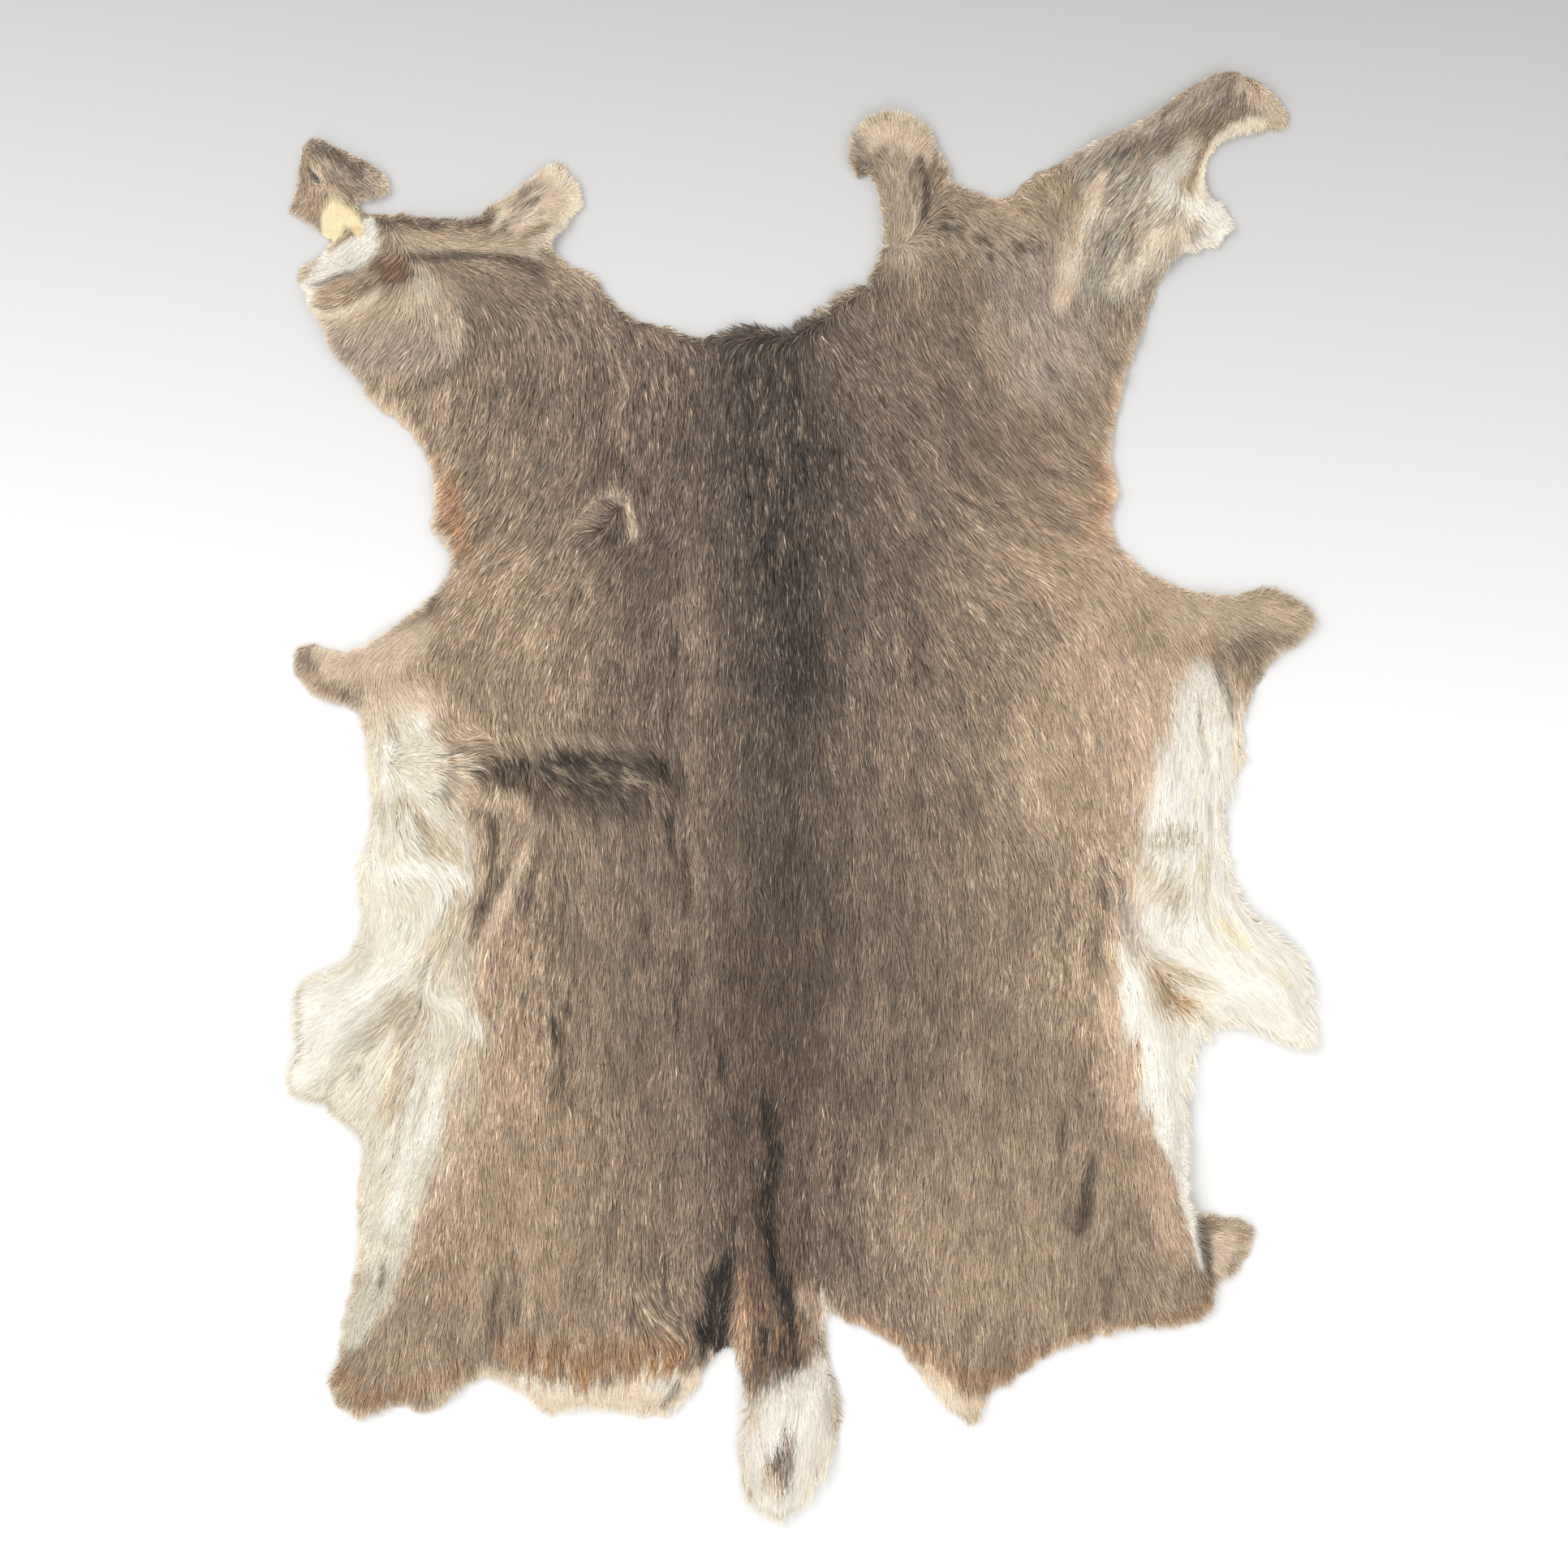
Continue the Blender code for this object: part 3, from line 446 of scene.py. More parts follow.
    Mark("left flank rim", "sand", 0.6, 0.9, ((447, 1540, 9), (437, 1575, 11), (430, 1605, 9))),
    # Painted shade in a pucker of the skin.
    Mark("left flank pucker", "greyBrown", 0.7, 0.8, ((473, 1550, 3), (470, 1575, 4), (466, 1592, 2))),
    Mark("left flank, border", "russet", 0.35, 0.9, (
        (562, 1345, 8), (548, 1420, 8), (525, 1480, 7), (508, 1540, 7), (492, 1590, 6),
    )),
    Mark("right belly, border", "biscuit", 0.65, 1.2, (
        (1478, 800, 30), (1482, 860, 52), (1475, 930, 68), (1462, 1010, 72), (1455, 1080, 70),
    )),
    Mark("right belly, upper", "pearl", 0.95, 0.9, (
        (1482, 832, 18), (1484, 870, 38), (1490, 900, 48), (1484, 940, 56),
    )),
    Mark("right belly", "white", 0.95, 0.8, (
        (1482, 930, 40), (1476, 970, 60), (1474, 1010, 70), (1480, 1040, 78), (1484, 1080, 84),
        (1492, 1120, 96), (1515, 1160, 112), (1530, 1200, 120), (1535, 1250, 110),
    )),
    Mark("right belly wedge, border", "biscuit", 0.6, 1, (
        (1368, 1165, 14), (1380, 1230, 30), (1396, 1300, 40), (1412, 1370, 42), (1428, 1450, 34),
        (1452, 1530, 24),
    )),
    Mark("right belly wedge", "white", 1, 0.5, (
        (1379, 1162, 8), (1388, 1190, 15), (1404, 1240, 24), (1428, 1300, 27), (1444, 1370, 24),
        (1458, 1440, 17), (1470, 1510, 10), (1482, 1560, 6),
    )),
    # Painted shade under the right belly's ledge, below it and in its hollow, warmer at the hollow's heart.
    Mark("right belly ledge", "khaki", 0.7, 1.2, ((1428, 1026, 9), (1452, 1022, 10), (1475, 1022, 7))),
    Mark("right belly, shadow band", "khaki", 0.6, 1.3, ((1420, 1062, 13), (1436, 1084, 20), (1456, 1100, 18))),
    Mark("right belly, buff", "oat", 0.6, 1.2, ((1455, 1075, 20), (1470, 1090, 16))),
    Mark("right belly hollow, rim", "oat", 0.9, 1.1, (
        (1412, 1180, 14), (1430, 1205, 24), (1455, 1228, 30), (1472, 1242, 22),
    )),
    Mark("right belly hollow", "khaki", 0.85, 1.1, ((1420, 1190, 11), (1438, 1214, 18), (1456, 1236, 17))),
    Mark("right belly hollow, heart", "tawny", 0.7, 1.1, ((1442, 1222, 9), (1456, 1240, 10))),
    Mark("right belly tufts", "butter", 0.7, 0.9, ((1500, 1128, 8), (1512, 1140, 8), (1530, 1150, 6))),
    Mark("right belly tufts, outer", "butter", 0.7, 0.9, ((1570, 1190, 8), (1578, 1205, 6))),
    Mark("right belly, straw", "butter", 0.6, 0.9, ((1478, 1055, 8), (1480, 1080, 7))),
    Mark("right foreleg, under", "greyBrown", 0.6, 0.9, ((1500, 820, 8), (1515, 850, 8), (1520, 880, 6))),
    Mark("right foreleg, rim", "sand", 0.6, 0.9, ((1525, 905, 8), (1528, 930, 7))),
    Mark("right flank, border", "russet", 0.5, 0.9, ((1405, 970, 7), (1403, 1010, 7), (1400, 1050, 6))),
    # Painted shade in the right flank's groove, and painted light along the ridge above it.
    Mark("right flank, groove", "umber", 0.35, 1.4, (
        (1356, 1085, 5), (1350, 1160, 7), (1344, 1240, 8), (1338, 1320, 6),
    )),
    Mark("right flank, ridge", "biscuit", 0.6, 1, (
        (1345, 1046, 5), (1372, 1060, 6), (1396, 1076, 6), (1402, 1110, 5),
    )),
    Mark("left shoulder, rim", "russet", 0.75, 1.4, (
        (535, 570, 12), (545, 610, 22), (556, 645, 26), (566, 672, 18),
    )),
    Mark("left shoulder, rust", "rust", 0.45, 1.6, ((548, 600, 12), (560, 640, 17), (572, 668, 11))),
    Mark("left shoulder, fuzz", "cream", 0.5, 0.8, ((535, 600, 5), (533, 650, 5), (548, 668, 7))),
    Mark("right shoulder, rim", "apricot", 0.7, 1.4, (
        (1372, 560, 10), (1372, 600, 18), (1366, 635, 20), (1358, 668, 14),
    )),
    Mark("right shoulder, rust", "rust", 0.4, 1.6, ((1354, 585, 11), (1358, 618, 15), (1348, 650, 12))),
    Mark("right neck, rim", "apricot", 0.8, 0.9, ((1376, 470, 7), (1375, 520, 8), (1369, 565, 8))),
    Mark("left throat, rim", "apricot", 0.6, 0.8, (
        (385, 395, 8), (400, 425, 8), (425, 460, 7), (450, 490, 7), (480, 505, 7), (508, 535, 7),
    )),
    Mark("left rump, rim", "tawny", 0.6, 1.6, (
        (620, 1664, 14), (660, 1676, 18), (700, 1682, 18), (750, 1676, 17), (800, 1664, 16),
        (840, 1650, 12),
    )),
    Mark("left heel, rim", "tawny", 0.55, 1.3, (
        (422, 1700, 12), (440, 1725, 12), (470, 1722, 11), (505, 1712, 11), (535, 1702, 11),
        (565, 1688, 10),
    )),
    Mark("right rump, rim", "tawny", 0.5, 1.3, (
        (1040, 1622, 9), (1080, 1638, 11), (1120, 1662, 12), (1160, 1688, 13), (1200, 1704, 13),
        (1235, 1696, 11), (1270, 1676, 9), (1320, 1654, 8), (1370, 1640, 8), (1420, 1632, 8),
        (1470, 1624, 8), (1490, 1600, 6),
    )),
    Mark("left rump, skin", "skin", 1, 0.6, (
        (598, 1694, 10), (640, 1712, 16), (680, 1726, 26), (720, 1730, 28), (760, 1730, 28),
        (800, 1728, 28), (835, 1716, 18), (856, 1696, 8),
    )),
    Mark("left rump, white", "white", 0.7, 1.1, ((640, 1704, 7), (700, 1716, 8), (740, 1712, 7))),
    Mark("left rump, white", "white", 0.7, 1.1, ((800, 1706, 7), (826, 1700, 8), (836, 1690, 5))),
    # Painted shade in a fold of the bare skin.
    Mark("left rump, skin fold", "greyBrown", 0.6, 0.9, ((816, 1736, 3), (826, 1722, 4), (836, 1706, 4))),
    Mark("right rump, skin", "skin", 1, 0.6, (
        (1138, 1690, 8), (1162, 1716, 16), (1184, 1736, 20), (1202, 1742, 18), (1204, 1758, 12),
    )),
    Mark("right rump, stain", "khaki", 0.8, 1, ((1196, 1738, 5), (1204, 1752, 6))),
    Mark("tail, upper", "chestnut", 0.8, 1.1, (
        (945, 1555, 34), (950, 1600, 40), (955, 1640, 44), (958, 1672, 42), (952, 1692, 32),
    )),
    Mark("tail, core", "umber", 0.85, 1.2, (
        (952, 1560, 12), (962, 1600, 17), (968, 1640, 24), (962, 1668, 34), (952, 1692, 29),
    )),
    Mark("tail, parting", "blackBrown", 0.9, 1, (
        (946, 1515, 8), (954, 1560, 9), (965, 1600, 9), (972, 1640, 8), (966, 1664, 10),
    )),
    Mark("tail, left side", "russet", 0.75, 1.3, (
        (912, 1572, 8), (910, 1600, 11), (914, 1640, 12), (918, 1680, 9),
    )),
    Mark("tail, right side", "biscuit", 0.55, 1.3, ((992, 1588, 8), (1000, 1615, 11), (1004, 1645, 8))),
    Mark("tail, right strand", "russet", 0.6, 1.2, ((988, 1650, 6), (1000, 1668, 8), (1010, 1684, 5))),
    Mark("tail, right rim", "cream", 0.75, 0.8, ((1012, 1592, 4), (1018, 1620, 5), (1022, 1650, 6))),
    Mark("tail, white", "pearl", 1, 0.5, (
        (1008, 1684, 16), (992, 1716, 32), (974, 1744, 50), (972, 1780, 62), (970, 1820, 60),
        (966, 1850, 50),
    )),
    Mark("tail, bright", "white", 0.7, 1.2, ((1000, 1715, 12), (985, 1745, 16), (950, 1760, 14))),
    Mark("tail spot, streak", "greyBrown", 0.6, 0.9, ((968, 1748, 8), (972, 1762, 8))),
    Mark("tail spot", "umber", 0.85, 0.9, ((968, 1775, 12), (964, 1790, 17), (962, 1802, 15))),
    Mark("tail spot, lower edge", "russet", 0.75, 0.9, ((948, 1806, 8), (960, 1816, 9))),
    # Painted shade in the deep gap beside the tail.
    Mark("beside the tail", "blackBrown", 1, 1.1, (
        (900, 1538, 6), (890, 1572, 18), (885, 1605, 27), (881, 1635, 25), (884, 1658, 12),
    )),
    Mark("left ear", "wheat", 0.95, 0.9, ((640, 262, 26), (665, 240, 30), (690, 250, 24))),
    Mark("left ear, back", "greyBrown", 0.4, 1, ((638, 262, 10), (652, 245, 12), (664, 232, 8))),
    # Painted shade in the hollow at the ear's root.
    Mark("left ear, root hollow", "umber", 0.6, 0.9, ((622, 285, 5), (615, 262, 5))),
    Mark("left ear, rim", "cream", 0.75, 0.8, (
        (678, 208, 6), (692, 215, 9), (706, 235, 9), (706, 258, 9), (690, 280, 8), (662, 300, 9),
    )),
    Mark("left ear, root", "cream", 0.7, 0.7, ((618, 262, 4), (612, 276, 4))),
    Mark("left jaw, edge", "cream", 0.45, 1.2, (
        (500, 306, 4), (560, 303, 4), (620, 306, 5), (662, 314, 5),
    )),
    Mark("left jaw, crest", "darkBrown", 0.6, 0.8, (
        (470, 272, 9), (520, 270, 8), (570, 275, 8), (600, 268, 8),
    )),
    Mark("left jaw, pale", "sand", 0.65, 1, (
        (480, 292, 7), (520, 298, 8), (560, 301, 9), (610, 303, 10), (650, 303, 9),
    )),
    # Painted shade under the fold of the jaw.
    Mark("under the left jaw", "umber", 0.65, 0.8, (
        (500, 318, 4), (560, 314, 5), (610, 316, 5), (640, 320, 6), (665, 332, 7),
    )),
    Mark("left chin", "white", 0.95, 0.6, (
        (452, 275, 10), (450, 300, 17), (438, 316, 20), (412, 326, 20), (393, 338, 14), (380, 350, 11),
        (378, 368, 8),
    )),
    Mark("left chin, upper", "white", 0.9, 0.7, ((432, 300, 9), (418, 306, 9))),
    Mark("left cheek, wide", "mushroom", 0.8, 1, (
        (420, 420, 34), (470, 420, 50), (520, 412, 52), (545, 420, 34),
    )),
    # Painted shade along the fold beside the cheek.
    Mark("beside the left cheek", "umber", 0.45, 1.3, (
        (572, 380, 5), (584, 405, 8), (582, 432, 8), (560, 456, 7), (520, 474, 6), (480, 484, 6),
    )),
    Mark("left cheek, pale", "sand", 0.65, 1.6, (
        (400, 394, 12), (440, 390, 20), (480, 380, 25), (515, 366, 27), (540, 380, 23), (556, 402, 16),
        (564, 422, 10),
    )),
    Mark("left cheek, white", "oat", 0.75, 1.5, (
        (504, 332, 8), (514, 346, 13), (518, 364, 14), (498, 376, 11),
    )),
    Mark("left cheek spot", "mauve", 0.9, 0.6, ((466, 328, 13), (490, 335, 17), (478, 344, 12))),
    Mark("left cheek lobe, under", "cream", 0.65, 1, (
        (380, 376, 6), (396, 388, 7), (424, 386, 8), (452, 374, 8), (468, 360, 7),
    )),
    Mark("left cheek lobe", "tan", 0.75, 0.9, (
        (388, 364, 8), (402, 358, 13), (422, 350, 14), (440, 342, 10),
    )),
    Mark("left cheek lobe, edge", "darkBrown", 0.45, 0.9, ((384, 350, 3), (410, 343, 3), (440, 331, 3))),
    Mark("left face", "ash", 0.5, 0.9, ((400, 185, 16), (430, 205, 17), (455, 225, 15))),
    Mark("left face, dark", "umber", 0.55, 0.9, ((395, 180, 8), (420, 195, 9), (440, 210, 8))),
    Mark("left face, lower", "tan", 0.8, 0.9, ((380, 235, 15), (375, 255, 11), (395, 255, 12))),
    Mark("left face, fold", "sand", 0.8, 0.7, ((382, 200, 4), (395, 222, 4), (410, 238, 5), (425, 245, 5))),
    Mark("left face, tip", "sand", 0.6, 0.9, ((470, 228, 6), (474, 218, 5))),
    # Painted shade: dark hair round the eye hole, which stands in for the shadow inside it.
    Mark("round the eye", "blackBrown", 0.85, 0.8, ((385, 211, 6), (391, 220, 6))),
    Mark("rawhide", "rawhide", 1, 0.25, (
        (412, 256, 14), (409, 272, 19), (406, 286, 15), (424, 262, 12), (436, 270, 9), (441, 285, 7),
    )),
    Mark("rawhide, stain", "honey", 0.9, 0.7, ((438, 281, 4), (437, 288, 3))),
    Mark("right ear", "wheat", 0.9, 0.9, (
        (1066, 182, 14), (1080, 160, 20), (1108, 152, 24), (1130, 172, 20), (1138, 195, 12),
    )),
    # Painted shade in the ear's hollow.
    Mark("right ear, hollow", "greyBrown", 0.7, 0.8, ((1060, 176, 8), (1066, 194, 8))),
    Mark("right ear, stalk", "sand", 0.65, 1.1, ((1110, 215, 30), (1110, 270, 30), (1120, 310, 34))),
    Mark("right brow, pale", "tan", 0.5, 1.1, (
        (1180, 300, 16), (1220, 265, 20), (1260, 262, 26), (1300, 240, 26),
    )),
    Mark("right ear, streak", "umber", 0.75, 1, (
        (1136, 196, 4), (1139, 215, 5), (1142, 240, 5), (1140, 268, 4),
    )),
    Mark("right face", "ash", 0.95, 1.1, (
        (1330, 200, 12), (1370, 180, 17), (1410, 160, 20), (1450, 138, 20), (1490, 117, 20),
        (1525, 110, 18),
    )),
    Mark("right face, dark", "greyBrown", 0.5, 1.2, (
        (1362, 202, 8), (1388, 190, 8), (1440, 165, 8), (1500, 132, 8), (1515, 122, 7),
    )),
    Mark("right face, tip", "wheat", 0.75, 1.1, ((1535, 108, 12), (1555, 122, 18), (1574, 140, 12))),
    Mark("right throat", "pebble", 0.8, 1.3, (
        (1350, 212, 22), (1370, 232, 36), (1398, 248, 48), (1425, 262, 46), (1402, 310, 44),
        (1380, 342, 32),
    )),
    Mark("right throat, left", "pebble", 0.75, 1.3, ((1374, 256, 26), (1356, 305, 30), (1344, 350, 22))),
    Mark("right throat, pale", "oat", 0.9, 1.1, (
        (1466, 178, 14), (1462, 196, 18), (1446, 214, 22), (1440, 236, 22), (1452, 262, 20),
    )),
    Mark("right throat, pale", "oat", 0.85, 1.1, ((1420, 302, 14), (1396, 324, 19), (1372, 350, 15))),
    Mark("right throat, shade", "taupe", 0.5, 1.2, ((1380, 250, 9), (1398, 278, 12), (1394, 306, 10))),
    Mark("right throat, shade", "greyBrown", 0.45, 1.2, ((1350, 205, 8), (1366, 224, 10))),
    Mark("right throat, curls", "greyBrown", 0.5, 0.9, ((1440, 268, 6), (1456, 250, 6))),
    Mark("right throat, wedge", "wheat", 0.9, 1.2, (
        (1358, 216, 7), (1344, 250, 13), (1329, 290, 18), (1318, 332, 17), (1308, 376, 9),
    )),
    Mark("right throat, wedge", "pearl", 0.4, 1.6, ((1344, 262, 8), (1332, 295, 10), (1322, 335, 8))),
    Mark("right throat, cream", "pearl", 0.85, 1.1, (
        (1464, 186, 12), (1450, 204, 18), (1434, 216, 18), (1438, 236, 14),
    )),
    Mark("right throat, curls", "wheat", 0.75, 1.2, ((1420, 290, 12), (1445, 292, 12), (1462, 288, 10))),
    Mark("right throat, tuft", "white", 0.9, 0.9, (
        (1462, 246, 10), (1482, 256, 16), (1500, 266, 16), (1500, 284, 18), (1484, 298, 14), (1462, 304, 8),
    )),
    Mark("right throat, rim", "cream", 0.95, 0.9, (
        (1476, 238, 8), (1481, 215, 10), (1490, 192, 10), (1502, 172, 9), (1530, 156, 7), (1558, 148, 6),
    )),
    Mark("right throat, rim", "tawny", 0.6, 0.9, ((1488, 180, 3), (1477, 200, 4), (1471, 226, 4))),
    Mark("left foreleg", "wheat", 0.85, 1, (
        (400, 815, 22), (430, 825, 24), (470, 810, 26), (510, 790, 26),
    )),
    Mark("left foreleg, dark", "darkBrown", 0.6, 0.9, ((380, 815, 5), (388, 822, 5))),
    Mark("left foreleg, elbow", "darkBrown", 0.6, 0.9, ((422, 856, 6), (440, 868, 6))),
    Mark("left foreleg, rim", "apricot", 0.5, 0.9, (
        (375, 840, 5), (400, 860, 5), (443, 885, 6), (450, 908, 6),
    )),
    Mark("left elbow", "wheat", 0.7, 1.3, ((470, 868, 28), (520, 862, 26))),
    Mark("right foreleg", "sand", 0.85, 1, (
        (1460, 750, 24), (1510, 755, 26), (1560, 755, 24), (1595, 765, 16),
    )),
    Mark("right foreleg, dark", "darkBrown", 0.45, 0.9, ((1495, 808, 6), (1530, 810, 6))),
    Mark("shank", "wheat", 0.9, 0.7, ((1515, 1532, 22), (1505, 1560, 14))),
    Mark("shank, tip", "russet", 0.7, 0.8, ((1531, 1528, 6),)),
    Mark("shank, shade", "darkBrown", 0.7, 0.8, ((1480, 1504, 6), (1484, 1535, 9), (1490, 1564, 6))),
)

# Fine relief of the coat, over the folds of its solid: rise in millimetres, places (x, y, half width).
Crease = namedtuple("Crease", "part rise places")
creases = (
    Crease("croup parting", -5, (
        (940, 1360, 5), (951, 1390, 7), (953, 1450, 5), (951, 1520, 5), (955, 1600, 5),
    )),
    Crease("beside the tail", -7, ((884, 1568, 9), (882, 1600, 12), (882, 1640, 10))),
    Crease("pleat hollow", -4, (
        (600, 948, 12), (650, 950, 16), (700, 945, 20), (760, 947, 18), (812, 941, 10),
    )),
    Crease("pleat, upper lip", 3, ((570, 913, 9), (650, 908, 10), (730, 910, 10), (800, 913, 9))),
    Crease("left flank fold", -4, ((612, 1012, 8), (615, 1050, 10), (603, 1090, 9), (588, 1130, 6))),
    Crease("left flank ridge", 3, ((648, 1045, 8), (628, 1090, 8), (602, 1140, 7))),
    Crease("haunch fold", -4, ((1345, 1430, 7), (1340, 1470, 8), (1330, 1515, 8))),
    Crease("haunch ridge", 4, ((1363, 1425, 10), (1359, 1480, 11), (1351, 1522, 10))),
    Crease("haunch fold, lower", -3, ((1360, 1598, 7), (1363, 1630, 6))),
    Crease("right flank fold", -4, ((1352, 1052, 6), (1378, 1075, 7), (1390, 1110, 8), (1393, 1145, 6))),
    Crease("right flank ridge", 2.5, ((1338, 1038, 7), (1370, 1056, 7), (1400, 1068, 7))),
    Crease("shank edge", -4, ((1480, 1500, 6), (1486, 1540, 7), (1495, 1578, 6))),
    Crease("haunch edge", 3, ((1462, 1400, 6), (1468, 1480, 6), (1474, 1550, 7), (1480, 1590, 7))),
    Crease("shoulder whorl, hollow", -3.5, ((742, 655, 10),)),
    Crease("shoulder whorl, tuft", 4, ((758, 608, 9), (774, 630, 7))),
    Crease("under the left jaw", -3, ((500, 316, 5), (560, 312, 6), (620, 314, 6), (662, 327, 7))),
    Crease("left jaw", 3, ((480, 290, 9), (540, 292, 9), (600, 290, 10), (645, 285, 11))),
    Crease("left cheek", -2.5, ((574, 400, 6), (580, 425, 7), (565, 450, 7), (548, 462, 6))),
    Crease("right belly ledge", -3.5, ((1420, 1037, 5), (1450, 1035, 6), (1482, 1036, 5))),
    Crease("right belly shelf", 3, ((1420, 1052, 7), (1450, 1050, 8), (1482, 1052, 7))),
    Crease("left belly hollow", -4, ((506, 1240, 14), (498, 1265, 12))),
    Crease("left belly hollow, rim", 2.5, ((530, 1228, 8), (558, 1240, 9), (575, 1262, 9))),
    Crease("right belly hollow", -4, ((1456, 1232, 15),)),
    Crease("right belly arch", 3, ((1418, 1180, 8), (1436, 1170, 8), (1470, 1180, 8))),
    Crease("parting, shoulder", -2.5, ((833, 786, 6), (828, 806, 6))),
    Crease("parting, flank", -2.5, ((661, 1248, 5), (663, 1278, 5))),
    Crease("parting, flank", -2.5, ((681, 1252, 5), (685, 1282, 5))),
    Crease("parting, flank", -2.5, ((701, 1218, 5), (703, 1246, 5))),
    Crease("parting, loin", -2.5, ((834, 1228, 6), (837, 1262, 5))),
    Crease("parting, haunch", -2.5, ((632, 1545, 6), (634, 1625, 6))),
    Crease("rump locks", 3, ((800, 1590, 9), (820, 1620, 10), (840, 1645, 8))),
    Crease("under the rump locks", -2.5, ((790, 1625, 7), (806, 1655, 7))),
)

